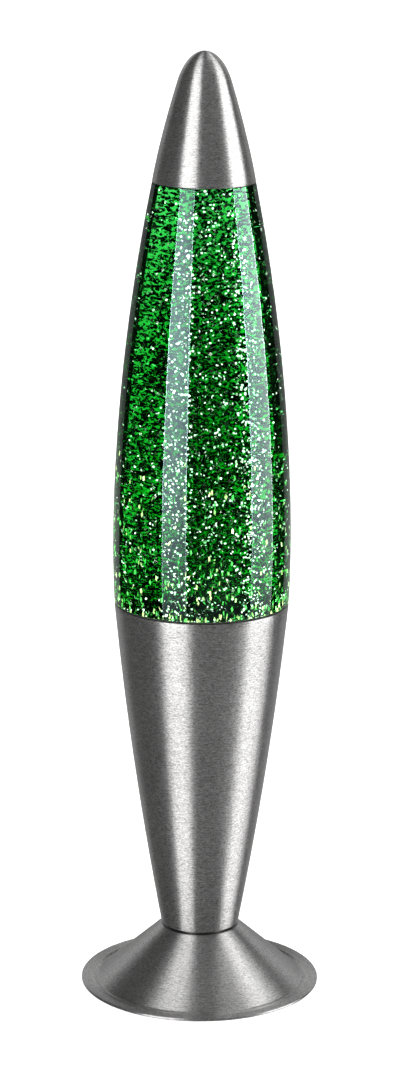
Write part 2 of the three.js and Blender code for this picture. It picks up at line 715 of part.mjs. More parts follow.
function terminalBlock() {
  const middle = [0, BLOCK.centreY, BLOCK.bottom + BLOCK.z / 2];
  const wireZ = BLOCK.bottom + BLOCK_WIRE_HEIGHT;
  let block = toSolid(new THREE.BoxGeometry(BLOCK.x, BLOCK.y, BLOCK.z)).translate(middle);
  for (const { x, y } of terminals) {
    const wireHole = rodY(LEAD_RADIUS + 2 * GAP).translate([x, BLOCK.centreY, wireZ]);
    const screwHole = rodZ(TERMINAL_SCREW.headRadius + GAP, 8).translate([x, y, blockTop]);
    block = block.subtract(wireHole).subtract(screwHole);
  }
  return toGeometry(block.subtract(rodZ(BLOCK_SCREW.shankRadius + GAP).translate(middle)));
}

// Slotted screw with its axis along Z, standing proud of the block's top.
function slottedScrew({ headRadius, shankRadius, headHeight, proud }, length, x, y) {
  const slotWidth = 0.6;
  const slotDepth = 0.6;
  const top = blockTop + proud;
  const body = toSolid(
    turned(
      [
        at(0, top - length),
        at(shankRadius, top - length),
        at(shankRadius, top - headHeight),
        at(headRadius, top - headHeight),
        at(headRadius, top),
        at(0, top),
      ],
      12,
    ),
  );
  const slotBox = new THREE.BoxGeometry(headRadius * 3, slotWidth, 2 * slotDepth);
  const slot = toSolid(slotBox).translate([0, 0, top]);
  return toGeometry(body.subtract(slot).translate([x, y, 0]));
}

// Insulated lead from the block, up through the threaded tube, to its hole in the holder's insert.
function lead(side) {
  const x = (side * LEAD_SPACING) / 2;
  const blockX = (side * BLOCK_PITCH) / 2;
  const wireZ = BLOCK.bottom + BLOCK_WIRE_HEIGHT;
  const endX = side * LEAD_END_X;
  const path = [
    new THREE.Vector3(blockX, BLOCK.centreY + BLOCK.y / 2 - 2, wireZ),
    new THREE.Vector3(blockX, -5, wireZ + 0.3),
    new THREE.Vector3(blockX * 0.75, -1.5, wireZ + 2.6),
    new THREE.Vector3(x, -0.2, NIPPLE_Z[0] - 2),
    new THREE.Vector3(x, 0, NIPPLE_Z[0] + 3),
    new THREE.Vector3(x, 0, NIPPLE_Z[1] - 2),
    new THREE.Vector3(x * 1.2, 0, NIPPLE_Z[1] + 3),
    new THREE.Vector3(endX * 0.96, 0, INSERT_Z[0] - 2),
    new THREE.Vector3(endX, 0, INSERT_Z[0] + LEAD_HOLE_DEPTH - 0.5),
  ];
  return wire(path, LEAD_RADIUS, 26);
}

// ---- Assembly ----

add("foot_cone", footCone(), "spunAluminium");
add("bottom_cover", bottomCover(), "blackPlastic");
add("inlet_grommet", inletGrommet(), "blackRubber");
add("base_cup", baseCup(), "spunAluminium");
add("seat_ring", seatRing(), "blackRubber");

add("threaded_nipple", nipple(), "zincSteel");
add("upper_washer", washer(CUP_FLOOR_Z + SHEET + GAP), "zincSteel");
add("upper_nut", hexNut(CUP_FLOOR_Z + SHEET + 2 * GAP + WASHER_THICKNESS), "zincSteel");
add("lower_washer", washer(CONE_TOP.z - SHEET - GAP - WASHER_THICKNESS), "zincSteel");
add("lower_nut", hexNut(CONE_TOP.z - SHEET - 2 * GAP - WASHER_THICKNESS - NUT_THICKNESS), "zincSteel");

add("holder_base", holderBase(), "blackPlastic");
add("holder_insert", holderInsert(), "ceramic");
add("holder_skirt", holderSkirt(), "blackPlastic");
add("screw_contact", screwContact(), "brass");
add("centre_contact", centreContact(), "brass");

add("bulb_tip", bulbTip(), "solder");
add("bulb_insulator", bulbInsulator(), "blackGlass");
add("bulb_cap", bulbCap(), "brass");
add("bulb_glass", bulbGlass(), "glass");
add("bulb_stem", bulbStem(), "glass");
add("bulb_filament", bulbFilament(), "tungsten");

add("bottle_glass", bottleGlass(), "glass");
add("liquid", liquid(), "liquid");
add("crown_closure", crownClosure(), "zincSteel");
add("crown_liner", crownLiner(), "linerPlastic");
add("rocket_cap", rocketCap(), "spunAluminium");

add("terminal_block", terminalBlock(), "blockPlastic");
const blockScrewLength = blockTop + BLOCK_SCREW.proud - COVER_Z[0];
add("block_screw", slottedScrew(BLOCK_SCREW, blockScrewLength, 0, BLOCK.centreY), "zincSteel");
terminals.forEach(({ x, y }, i) => {
  add(`terminal_screw_${i + 1}`, slottedScrew(TERMINAL_SCREW, TERMINAL_SCREW.length, x, y), "brass");
});
add("live_lead", lead(-1), "brownSleeve");
add("neutral_lead", lead(1), "blueSleeve");

export default lamp;
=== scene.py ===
import json
import math

import bmesh
import bpy
import numpy as np
from mathutils import Matrix, Vector


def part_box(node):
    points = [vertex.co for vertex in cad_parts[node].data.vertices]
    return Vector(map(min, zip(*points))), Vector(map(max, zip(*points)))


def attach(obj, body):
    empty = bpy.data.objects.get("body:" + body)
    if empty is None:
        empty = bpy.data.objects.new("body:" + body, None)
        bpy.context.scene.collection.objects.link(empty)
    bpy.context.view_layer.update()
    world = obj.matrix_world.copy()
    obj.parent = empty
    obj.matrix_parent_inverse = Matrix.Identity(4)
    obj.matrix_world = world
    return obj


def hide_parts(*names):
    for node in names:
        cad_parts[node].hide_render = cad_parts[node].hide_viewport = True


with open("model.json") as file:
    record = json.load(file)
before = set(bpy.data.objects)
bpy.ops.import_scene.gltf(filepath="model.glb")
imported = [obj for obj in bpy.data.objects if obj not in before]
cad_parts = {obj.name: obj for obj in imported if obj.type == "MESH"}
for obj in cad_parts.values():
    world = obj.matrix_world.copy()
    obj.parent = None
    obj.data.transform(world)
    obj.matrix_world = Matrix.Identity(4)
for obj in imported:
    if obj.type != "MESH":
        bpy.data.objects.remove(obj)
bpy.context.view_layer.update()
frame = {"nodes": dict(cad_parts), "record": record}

# Glitter lamp: the looks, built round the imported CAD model. Outlines are (radius, height) pairs in
# millimetres in the model's own frame, and MM turns them into metres.

MM = 0.001
SIDES = 256
SMALL_SIDES = 96
RECORD = frame["record"]
BODY_OF = {node: body for body, members in RECORD["behaviour"]["bodies"].items() for node in members}


def low(node):
    """Lowest height of a CAD node, in mm."""
    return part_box(node)[0].z / MM


def high(node):
    """Highest height of a CAD node, in mm."""
    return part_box(node)[1].z / MM


def low_y(node):
    """How far forward a CAD node starts, in mm."""
    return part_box(node)[0].y / MM


def wide(node):
    """Largest radius of a CAD node about the Z axis, in mm."""
    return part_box(node)[1].x / MM


# ---------------------------------------------------------------- camera

# Lens in mm on a 36 mm sensor. The camera looks down by TILT at TARGET from CAMERA_DISTANCE metres.
SENSOR = 36
LENS = 108.8
TILT = math.radians(14.23)
ROLL = math.radians(0.33)
TARGET = Vector((-0.0002, 0, 0.2053))
CAMERA_DISTANCE = 1.4398


def make_camera():
    data = bpy.data.cameras.new("camera")
    data.sensor_width = SENSOR
    data.lens = LENS
    data.clip_start = 0.05
    data.clip_end = 100
    camera = bpy.data.objects.new("camera", data)
    bpy.context.scene.collection.objects.link(camera)
    back = Vector((0, -math.cos(TILT), math.sin(TILT)))
    turn = (-back).to_track_quat("-Z", "Y").to_matrix() @ Matrix.Rotation(ROLL, 3, "Z")
    camera.matrix_world = Matrix.Translation(TARGET + back * CAMERA_DISTANCE) @ turn.to_4x4()
    bpy.context.scene.camera = camera


make_camera()

# ---------------------------------------------------------------- node helpers


class Graph:
    """A node tree with short calls for the few kinds of node that the materials share."""

    def __init__(self, tree):
        self.tree = tree
        tree.nodes.clear()

    def add(self, kind, settings=None, **inputs):
        node = self.tree.nodes.new(kind)
        for key, value in (settings or {}).items():
            setattr(node, key, value)
        for key, value in inputs.items():
            self.feed(node, key.replace("_", " "), value)
        return node

    def feed(self, node, key, value):
        """Sets an input, by name or number, to a plain value or joins it to another node's output."""
        socket = node.inputs[key]
        if isinstance(value, bpy.types.NodeSocket):
            self.tree.links.new(value, socket)
        else:
            socket.default_value = value

    def math(self, operation, a, b=0.0):
        node = self.add("ShaderNodeMath", {"operation": operation})
        self.feed(node, 0, a)
        self.feed(node, 1, b)
        return node.outputs[0]

    def ramp(self, value, low, high, to_low=0.0, to_high=1.0, smooth=True):
        """A number that goes from to_low to to_high as value goes from low to high, and stops there."""
        kind = "SMOOTHSTEP" if smooth else "LINEAR"
        node = self.add("ShaderNodeMapRange", {"interpolation_type": kind, "clamp": True})
        for i, x in enumerate((value, low, high, to_low, to_high)):
            self.feed(node, i, x)
        return node.outputs[0]

    def mix(self, share, a, b):
        """A colour between a and b."""
        node = self.add("ShaderNodeMix", {"data_type": "RGBA"})
        self.feed(node, 0, share)
        self.feed(node, 6, a)
        self.feed(node, 7, b)
        return node.outputs[2]

    def blend(self, share, a, b):
        """A number between a and b."""
        node = self.add("ShaderNodeMix", {"data_type": "FLOAT"})
        for key, value in ((0, share), (2, a), (3, b)):
            self.feed(node, key, value)
        return node.outputs[0]

    def levels(self, value, reach, stops):
        """A number read off straight lines between (place, level) stops, with places within +-reach."""
        node = self.add("ShaderNodeValToRGB", Fac=self.ramp(value, -reach, reach, smooth=False))
        ramp = node.color_ramp
        while len(ramp.elements) < len(stops):
            ramp.elements.new(1.0)
        for element, (place, level) in zip(ramp.elements, stops):
            element.position = (place + reach) / (2 * reach)
            element.color = grey(level)
        return node.outputs[0]

    def noise(self, vector, scale, detail=2.0, roughness=0.5):
        node = self.add("ShaderNodeTexNoise")
        self.feed(node, "Vector", vector)
        for key, value in (("Scale", scale), ("Detail", detail), ("Roughness", roughness)):
            self.feed(node, key, value)
        return node.outputs["Fac"]

    def bump(self, height, strength, distance):
        return self.add("ShaderNodeBump", Strength=strength, Distance=distance, Height=height).outputs[0]

    def place(self):
        """The point on the surface, in metres in the piece's own frame."""
        return self.add("ShaderNodeTexCoord").outputs["Object"]


def material(name):
    """A new material with a Principled shader, and the graph that feeds it."""
    made = bpy.data.materials.new(name)
    made.use_nodes = True
    graph = Graph(made.node_tree)
    shader = graph.add("ShaderNodeBsdfPrincipled")
    output = graph.add("ShaderNodeOutputMaterial")
    graph.feed(output, "Surface", shader.outputs[0])
    return made, graph, shader


def grey(value):
    return (value, value, value, 1)


# ---------------------------------------------------------------- materials


def brushed_metal(name, tone, roughness, metallic=0.9, anisotropy=0.89):
    """Spun metal: short hairlines that run round the Z axis, on walls and on flat flanges alike."""
    made, g, shader = material(name)
    place = g.place()
    split = g.add("ShaderNodeSeparateXYZ", Vector=place)
    x, y, z = split.outputs
    radius = g.math("SQRT", g.math("ADD", g.math("MULTIPLY", x, x), g.math("MULTIPLY", y, y)))
    across = g.math("SUBTRACT", z, radius)

    def hairlines(along_scale, across_scale, detail):
        """Noise with one scale, per metre, along the turning direction and another across it."""
        line = g.add("ShaderNodeCombineXYZ")
        g.feed(line, 0, g.math("MULTIPLY", x, along_scale))
        g.feed(line, 1, g.math("MULTIPLY", y, along_scale))
        g.feed(line, 2, g.math("MULTIPLY", across, across_scale))
        return g.noise(line.outputs[0], 1.0, detail, 0.6)

    strokes = hairlines(450, 2000, 1.0)
    hair = hairlines(110, 3200, 2.0)
    grain = hairlines(1200, 3000, 1.0)
    lines = g.math("ADD", g.math("MULTIPLY", strokes, 0.65), g.math("MULTIPLY", hair, 0.35))
    speck = g.math("ADD", g.math("MULTIPLY", lines, 0.45), g.math("MULTIPLY", grain, 0.55))
    patch = g.noise(place, 25, 2.0)
    shade = g.ramp(speck, 0.36, 0.64, tone * 0.5, tone * 1.5, smooth=False)
    shade = g.math("MULTIPLY", shade, g.ramp(patch, 0.3, 0.7, 0.96, 1.04))
    colour = g.add("ShaderNodeCombineColor", Red=shade, Green=g.math("MULTIPLY", shade, 0.99))
    g.feed(colour, "Blue", g.math("MULTIPLY", shade, 0.985))
    g.feed(shader, "Base Color", colour.outputs[0])
    g.feed(shader, "Metallic", metallic)
    rough = g.ramp(speck, 0.25, 0.75, roughness * 0.8, roughness * 1.25, smooth=False)
    g.feed(shader, "Roughness", rough)
    g.feed(shader, "Anisotropic", anisotropy)
    g.feed(shader, "Anisotropic Rotation", 0.25)
    tangent = g.add("ShaderNodeTangent", {"direction_type": "RADIAL", "axis": "Z"})
    g.feed(shader, "Tangent", tangent.outputs[0])
    g.feed(shader, "Normal", g.bump(speck, 0.6, 0.00009))
    return made


def plain_metal(name, colour, roughness, stain=0.25):
    """Turned or pressed metal with faint blotches of tarnish and fine scratches."""
    made, g, shader = material(name)
    place = g.place()
    blotch = g.noise(place, 180, 4.0)
    scratch = g.noise(place, 2500, 2.0)
    dull = tuple(c * (1 - stain) for c in colour) + (1,)
    g.feed(shader, "Base Color", g.mix(g.ramp(blotch, 0.35, 0.7), colour + (1,), dull))
    g.feed(shader, "Metallic", 1.0)
    g.feed(shader, "Roughness", g.ramp(blotch, 0.3, 0.7, roughness * 0.8, roughness * 1.3))
    g.feed(shader, "Normal", g.bump(scratch, 0.12, 0.00003))
    return made


def moulded(name, colour, roughness, grain_scale=1400, grain=0.2, coat=0.0):
    """Moulded plastic, rubber or ceramic with a fine skin texture."""
    made, g, shader = material(name)
    place = g.place()
    skin = g.noise(place, grain_scale, 2.0)
    cloud = g.noise(place, 60, 2.0)
    pale = tuple(min(c * 1.35 + 0.004, 1) for c in colour) + (1,)
    g.feed(shader, "Base Color", g.mix(g.ramp(cloud, 0.3, 0.75), colour + (1,), pale))
    g.feed(shader, "Roughness", g.ramp(skin, 0.3, 0.7, roughness * 0.88, min(roughness * 1.15, 1)))
    g.feed(shader, "Coat Weight", coat)
    g.feed(shader, "Normal", g.bump(skin, grain, 0.00005))
    return made


def clear_glass(name, tint=(1, 1, 1), mirror=0.5, mirror_tint=(1, 1, 1), ripple=0.0):
    """Clear glass. A mirror of 0.5 is plain glass, and 1 reflects twice as much of what it faces."""
    made, g, shader = material(name)
    g.feed(shader, "Base Color", tuple(tint) + (1,))
    g.feed(shader, "Transmission Weight", 1.0)
    g.feed(shader, "IOR", 1.5)
    g.feed(shader, "Roughness", 0.0)
    g.feed(shader, "Specular IOR Level", mirror)
    g.feed(shader, "Specular Tint", tuple(mirror_tint) + (1,))
    if ripple:
        wave = g.noise(g.place(), 45, 2.0)
        g.feed(shader, "Normal", g.bump(wave, ripple, 0.0006))
    return made


def frosted_front(name, glow, strength):
    """Frosted glass with the lit filament behind it."""
    made, g, shader = material(name)
    grain = g.noise(g.place(), 1800, 2.0)
    g.feed(shader, "Base Color", g.mix(grain, (0.8, 0.79, 0.76, 1), (0.92, 0.92, 0.9, 1)))
    g.feed(shader, "Roughness", 0.45)
    g.feed(shader, "Emission Color", tuple(glow) + (1,))
    g.feed(shader, "Emission Strength", strength)
    g.feed(shader, "Normal", g.bump(grain, 0.3, 0.00005))
    return made


def wetted_wall(name):
    """The glass against the liquid: the two bend light nearly alike, so light crosses it straight."""
    made = bpy.data.materials.new(name)
    made.use_nodes = True
    g = Graph(made.node_tree)
    clear = g.add("ShaderNodeBsdfTransparent", Color=(1, 1, 1, 1))
    output = g.add("ShaderNodeOutputMaterial")
    g.feed(output, "Surface", clear.outputs[0])
    return made


def dyed_liquid(name, through):
    """Clear liquid that dims each colour to the given share over the bottle's width."""
    made = wetted_wall(name)
    g = made.node_tree
    width = 2 * wide("liquid") * MM
    # Absorption takes away density * (1 - colour) per metre.
    loss = [-math.log(share) / width for share in through]
    density = max(loss)
    absorb = g.nodes.new("ShaderNodeVolumeAbsorption")
    absorb.inputs["Color"].default_value = tuple(1 - x / density for x in loss) + (1,)
    absorb.inputs["Density"].default_value = density
    g.links.new(absorb.outputs[0], g.nodes["Material Output"].inputs["Volume"])
    return made


def glitter(name, colour, roughness, glow=None):
    made, g, shader = material(name)
    place = g.place()
    tint = g.noise(place, 900, 1.0)
    warm = tuple(c * k for c, k in zip(colour, (1.0, 0.96, 0.8))) + (1,)
    g.feed(shader, "Base Color", g.mix(g.ramp(tint, 0.35, 0.65), colour + (1,), warm))
    g.feed(shader, "Metallic", 1.0)
    g.feed(shader, "Roughness", roughness)
    # A glow makes the flakes shine by themselves: painted glints and painted light from the bulb, not a
    # lamp.
    if glow:
        g.feed(shader, "Emission Color", tuple(glow[:3]) + (1,))
        g.feed(shader, "Emission Strength", glow[3])
    return made


SPUN = brushed_metal("spun_aluminium", 0.27, 0.35)
ZINC = plain_metal("zinc_plated_steel", (0.58, 0.6, 0.62), 0.34)
BRASS = plain_metal("brass", (0.78, 0.57, 0.24), 0.3)
NICKEL = plain_metal("nickel_plated_brass", (0.66, 0.63, 0.57), 0.26)
SOLDER = plain_metal("solder", (0.5, 0.51, 0.52), 0.38)
TUNGSTEN = plain_metal("tungsten_wire", (0.22, 0.22, 0.23), 0.4)
TINPLATE = plain_metal("lacquered_tinplate", (0.72, 0.73, 0.74), 0.25, stain=0.12)
BLACK_PLASTIC = moulded("black_plastic", (0.022, 0.022, 0.024), 0.5)
BAKELITE = moulded("black_bakelite", (0.018, 0.015, 0.013), 0.3, grain=0.08, coat=0.2)
RUBBER = moulded("black_rubber", (0.013, 0.013, 0.013), 0.75, grain=0.35)
LINER = moulded("liner_plastic", (0.78, 0.78, 0.74), 0.55)
BLOCK = moulded("terminal_block_plastic", (0.8, 0.78, 0.7), 0.45, grain=0.1)
CERAMIC = moulded("lampholder_ceramic", (0.8, 0.77, 0.7), 0.4, grain_scale=800)
BROWN = moulded("brown_sleeve", (0.13, 0.045, 0.018), 0.42, grain=0.1)
BLUE = moulded("blue_sleeve", (0.02, 0.07, 0.34), 0.42, grain=0.1)
BLACK_GLASS = moulded("black_glass", (0.012, 0.009, 0.016), 0.1, grain=0.03, coat=0.6)
BOTTLE_GLASS = clear_glass("bottle_glass", (0.99, 1, 0.99), 1.0, (0.6, 0.85, 0.92), ripple=0.05)
SILVERED = plain_metal("silvered_glass", (0.86, 0.86, 0.85), 0.12, stain=0.05)
FROSTED = frosted_front("frosted_glass", (1.0, 0.85, 0.55), 7.0)
STEM_GLASS = clear_glass("stem_glass", (0.96, 0.98, 0.98))
WETTED = wetted_wall("wetted_wall")
LIQUID = dyed_liquid("green_liquid", (0.0015, 0.25, 0.007))
FLAKE = glitter("silver_glitter", (0.2, 0.22, 0.21), 0.08)
# These three glitters glow by themselves: painted glints, and painted warm and green light from the bulb
# below.
PAINTED_GLINT_GLITTER = glitter("glitter_with_painted_glint", (0.7, 0.75, 0.72), 0.2, glow=(0.92, 1.0, 0.95, 2.3))
PAINTED_WARM_LIGHT_GLITTER = glitter("glitter_with_painted_warm_light", (0.7, 0.75, 0.6), 0.2, glow=(0.9, 1.0, 0.45, 1.8))
PAINTED_GREEN_LIGHT_GLITTER = glitter("glitter_with_painted_green_light", (0.4, 0.75, 0.4), 0.2, glow=(0.16, 1.0, 0.2, 0.95))

# ---------------------------------------------------------------- outlines


def bend(a, b, c, steps=24):
    """Points of a curve from a to c that leaves towards b."""
    found = []
    for i in range(steps + 1):
        t = i / steps
        u = 1 - t
        found.append(tuple(u * u * p + 2 * u * t * q + t * t * r for p, q, r in zip(a, b, c)))
    return found


def double_bend(a, b, c, d, steps=32):
    """Points of a curve from a to d that leaves towards b and arrives from c."""
    found = []
    for i in range(steps + 1):
        t = i / steps
        u = 1 - t
        weights = (u ** 3, 3 * u * u * t, 3 * u * t * t, t ** 3)
        found.append(tuple(sum(w * p[k] for w, p in zip(weights, (a, b, c, d))) for k in (0, 1)))
    return found


def inset(points, distance):
    """The same line moved by a wall's thickness, to the left of its direction."""
    moved = []
    for i, (r, z) in enumerate(points):
        before = points[max(i - 1, 0)]
        after = points[min(i + 1, len(points) - 1)]
        dr, dz = after[0] - before[0], after[1] - before[1]
        length = math.hypot(dr, dz) or 1
        moved.append((max(r - dz / length * distance, 0), z + dr / length * distance))
    return moved


def rounded(corners, steps=5):
    """A line through corners given as (r, z) or (r, z, rounding), each rounded off by that much."""
    found = []
    for i, corner in enumerate(corners):
        r, z = corner[:2]
        size = corner[2] if len(corner) > 2 else 0
        if not size:
            found.append((r, z))
            continue
        before = corners[(i - 1) % len(corners)]
        after = corners[(i + 1) % len(corners)]
        ends = []
        for other in (before, after):
            dr, dz = other[0] - r, other[1] - z
            length = math.hypot(dr, dz)
            cut = min(size, length * 0.49)
            ends.append((r + dr / length * cut, z + dz / length * cut))
        found += bend(ends[0], (r, z), ends[1], steps)
    return found


# ---------------------------------------------------------------- meshes


# Edges that turn by more than this stay sharp.
SHARP_DEGREES = 32


def finish_mesh(name, bm, sharp_degrees=SHARP_DEGREES):
    bmesh.ops.recalc_face_normals(bm, faces=bm.faces)
    mesh = bpy.data.meshes.new(name)
    bm.to_mesh(mesh)
    bm.free()
    mesh.shade_smooth()
    mesh.set_sharp_from_angle(angle=math.radians(sharp_degrees))
    return mesh


def revolve(name, outline, sides=SIDES, second=None, ripple=None, sharp_degrees=SHARP_DEGREES):
    """An outline turned about Z.

    second(r, z) picks the faces that take the second material, and ripple(r, z, angle) adds to the radius.
    """
    bm = bmesh.new()
    rings = []
    closed = outline[0][0] > 0 or outline[-1][0] > 0
    for r, z in outline:
        if r < 1e-6:
            rings.append([bm.verts.new((0, 0, z * MM))])
            continue
        ring = []
        for i in range(sides):
            angle = 2 * math.pi * i / sides
            radius = r + (ripple(r, z, angle) if ripple else 0)
            place = (radius * math.cos(angle) * MM, radius * math.sin(angle) * MM, z * MM)
            ring.append(bm.verts.new(place))
        rings.append(ring)
    pairs = list(zip(range(len(rings) - 1), range(1, len(rings))))
    if closed:
        pairs.append((len(rings) - 1, 0))
    for a, b in pairs:
        ring_a, ring_b = rings[a], rings[b]
        middle = [(outline[a][k] + outline[b][k]) / 2 for k in (0, 1)]
        for i in range(sides):
            j = (i + 1) % sides
            corners = [ring_a[i % len(ring_a)], ring_b[i % len(ring_b)]]
            corners += [ring_b[j % len(ring_b)], ring_a[j % len(ring_a)]]
            face = bm.faces.new(list(dict.fromkeys(corners)))
            if second and second(*middle):
                face.material_index = 1
    return finish_mesh(name, bm, sharp_degrees)


def piece(name, mesh, node, *materials, replaces=True):
    """An object for a mesh, with the given materials, on the body of the CAD node that it stands for,
    which it hides unless replaces is False.
    """
    made = bpy.data.objects.new(name, mesh)
    bpy.context.scene.collection.objects.link(made)
    for each in materials:
        mesh.materials.append(each)
    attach(made, BODY_OF[node])
    if replaces:
        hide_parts(node)
    return made


def add_rod(bm, place, radius, length, segments):
    """Adds a closed rod along a placing matrix's Z axis, with its radius and length in mm."""
    bmesh.ops.create_cone(
        bm, cap_ends=True, segments=segments,
        radius1=radius * MM, radius2=radius * MM, depth=length * MM, matrix=place,
    )


def cut_out(target, cutter):
    """Takes the shape in a bmesh away from a piece."""
    bmesh.ops.recalc_face_normals(cutter, faces=cutter.faces)
    tool_mesh = bpy.data.meshes.new("cutter")
    cutter.to_mesh(tool_mesh)
    cutter.free()
    tool = bpy.data.objects.new("cutter", tool_mesh)
    bpy.context.scene.collection.objects.link(tool)
    cut = target.modifiers.new("cut", "BOOLEAN")
    cut.operation = "DIFFERENCE"
    cut.solver = "EXACT"
    cut.object = tool
    bpy.context.view_layer.update()
    evaluated = target.evaluated_get(bpy.context.evaluated_depsgraph_get())
    mesh = bpy.data.meshes.new_from_object(evaluated)
    target.modifiers.clear()
    target.data = mesh
    mesh.set_sharp_from_angle(angle=math.radians(SHARP_DEGREES))
    bpy.data.objects.remove(tool)


# ---------------------------------------------------------------- spun metal shells

SHEET = 0.8

CUP_BOTTOM = low("base_cup")
CUP_TOP = high("base_cup")
CUP_WAIST_RADIUS = 17.5
CUP_BELLY = (31.56, 103.6)
CUP_RADIUS = wide("base_cup")
TUBE_HOLE = 5.3
CUP_SIDE = bend((CUP_WAIST_RADIUS, CUP_BOTTOM + 0.6), CUP_BELLY, (CUP_RADIUS, CUP_TOP - SHEET), 48)


def cup_radius(z):
    return float(np.interp(z, [p[1] for p in CUP_SIDE], [p[0] for p in CUP_SIDE]))


def make_cup():
    waist_corner = (CUP_WAIST_RADIUS - 0.1, CUP_BOTTOM)
    waist = bend((CUP_WAIST_RADIUS - 0.6, CUP_BOTTOM), waist_corner, CUP_SIDE[0], 6)
    inner = inset(CUP_SIDE, SHEET)[::-1]
    lip = bend(CUP_SIDE[-1], (CUP_RADIUS, CUP_TOP), (CUP_RADIUS - SHEET / 2, CUP_TOP), 4)
    lip += bend((CUP_RADIUS - SHEET / 2, CUP_TOP), (CUP_RADIUS - SHEET, CUP_TOP), inner[0], 4)[1:]
    floor = CUP_BOTTOM + SHEET
    outline = waist + CUP_SIDE[1:-1] + lip + inner[1:-1]
    outline += [(CUP_WAIST_RADIUS - 1.2, floor), (TUBE_HOLE, floor), (TUBE_HOLE, CUP_BOTTOM)]
    piece("spun_cup", revolve("spun_cup", outline), "base_cup", SPUN)


def inlet_axis():
    """Middle of the inlet grommet: its distance behind the axis and its height, in mm."""
    box_low, box_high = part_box("inlet_grommet")
    return (box_low.y + box_high.y) / 2 / MM, (box_low.z + box_high.z) / 2 / MM


FOOT_TOP = high("foot_cone")
FOOT_RIM = wide("foot_cone")
CONE_TOP = (17.1, FOOT_TOP)
CONE_BOTTOM = (45.6, 1.9)
# How far the cone spreads for each mm down, and how much its wall takes up sideways for each mm of sheet.
CONE_SLOPE = (CONE_BOTTOM[0] - CONE_TOP[0]) / (CONE_TOP[1] - CONE_BOTTOM[1])
CONE_STRETCH = math.hypot(1, CONE_SLOPE)
FLANGE = 47.0
FLANGE_THICKNESS = 1.0
# The cup stands on a raised seat inside the cone's top edge, so the joint shows as a dark line.
SEAT_RADIUS = 13.0
SEAT_GROOVE = 1.8
CONE_EDGE = FOOT_TOP - 0.75
INLET_HOLE = 4.9


def make_foot():
    outline = rounded([
        (TUBE_HOLE, FOOT_TOP),
        (SEAT_RADIUS, FOOT_TOP, 0.2),
        (SEAT_RADIUS, FOOT_TOP - SEAT_GROOVE, 0.3),
        (CONE_TOP[0] - 0.5, FOOT_TOP - SEAT_GROOVE, 0.2),
        (CONE_TOP[0], CONE_EDGE, 0.1),
        (CONE_TOP[0] + 0.55, CONE_EDGE, 0.15),
        (CONE_BOTTOM[0] + 0.9, FLANGE_THICKNESS - 0.2, 0.9),
        (FLANGE + 0.9, FLANGE_THICKNESS + 0.65, 0.8),
        (FLANGE + 2.2, FLANGE_THICKNESS + 0.05, 1),
        (FOOT_RIM, FLANGE_THICKNESS + 0.1, 0.5),
        (FOOT_RIM, 0, 0.4),
        (FLANGE, 0, 0.8),
        (CONE_BOTTOM[0] - SHEET * CONE_STRETCH + 0.9, FLANGE_THICKNESS + 0.05, 2),
        (CONE_TOP[0] - 0.3, FOOT_TOP - SEAT_GROOVE - SHEET, 0.3),
        (SEAT_RADIUS - SHEET, FOOT_TOP - SEAT_GROOVE - SHEET, 0.5),
        (SEAT_RADIUS - SHEET, FOOT_TOP - SHEET, 0.3),
        (TUBE_HOLE, FOOT_TOP - SHEET),
    ])
    made = piece("spun_foot", revolve("spun_foot", outline), "foot_cone", SPUN)
    y, z = inlet_axis()
    hole = bmesh.new()
    place = Matrix.Translation((0, y * MM, z * MM)) @ Matrix.Rotation(math.pi / 2, 4, "X")
    add_rod(hole, place, INLET_HOLE, 30, segments=64)
    cut_out(made, hole)


CAP_EDGE = (wide("rocket_cap"), low("rocket_cap"))
CAP_SIDE = (18.9, 383.6)
CAP_NOSE = (11.4, 408)
CAP_TIP = high("rocket_cap")


def make_cap():
    side = bend(CAP_EDGE, CAP_SIDE, CAP_NOSE, 36)
    nose = double_bend(CAP_NOSE, (CAP_NOSE[0] - 3.07, CAP_NOSE[1] + 9), (3.6, CAP_TIP), (0, CAP_TIP), 28)
    outer = side + nose[1:]
    inner = inset(outer, SHEET)
    inner[0] = (CAP_EDGE[0] - SHEET, CAP_EDGE[1] + 0.2)
    inner[-1] = (0, CAP_TIP - SHEET)
    edge = rounded([(CAP_EDGE[0] - SHEET, CAP_EDGE[1], 0.2), (CAP_EDGE[0] - 0.05, CAP_EDGE[1], 0.2)], 2)
    outline = inner[::-1] + edge + [(outer[1][0] + 0.05, CAP_EDGE[1] + 0.3)] + outer[1:]
    piece("spun_cap", revolve("spun_cap", outline), "rocket_cap", SPUN)


make_cup()
make_foot()
make_cap()

# ---------------------------------------------------------------- bottle, liquid and glitter

BOTTLE_BOTTOM = low("bottle_glass")
NECK_TOP = high("bottle_glass")
BOTTLE_STEP = (38.65, 178.3)
BOTTLE_BELLY = (43.9, 256.6)
BOTTLE_SHOULDER = (22.5, 363.7)
BOTTLE_SIDE = double_bend(
    BOTTLE_STEP, (BOTTLE_STEP[0] + 0.1, BOTTLE_STEP[1] + 1.2), BOTTLE_BELLY, BOTTLE_SHOULDER, 72
)
GLASS_WALL = 2.6
GLASS_FLOOR = 4
NECK_RADIUS = 12.9
NECK_BORE = 8.2
NECK_BOTTOM = 373
LIQUID_LEVEL = 368
SEAT_GAP = 2.55
# Where the bottle's flat floor turns up into its heel.
HEEL_START = 24
SHOULDER_START = (BOTTLE_SHOULDER[0] - 1.4, BOTTLE_SHOULDER[1] + 0.1)
SHOULDER = bend(SHOULDER_START, (19.5, 372), (NECK_RADIUS, NECK_BOTTOM), 12)


def plug_radius(z):
    """Outer radius of the bottle's lower end, which follows the cup's wall inside the seat ring."""
    return cup_radius(z) - SEAT_GAP


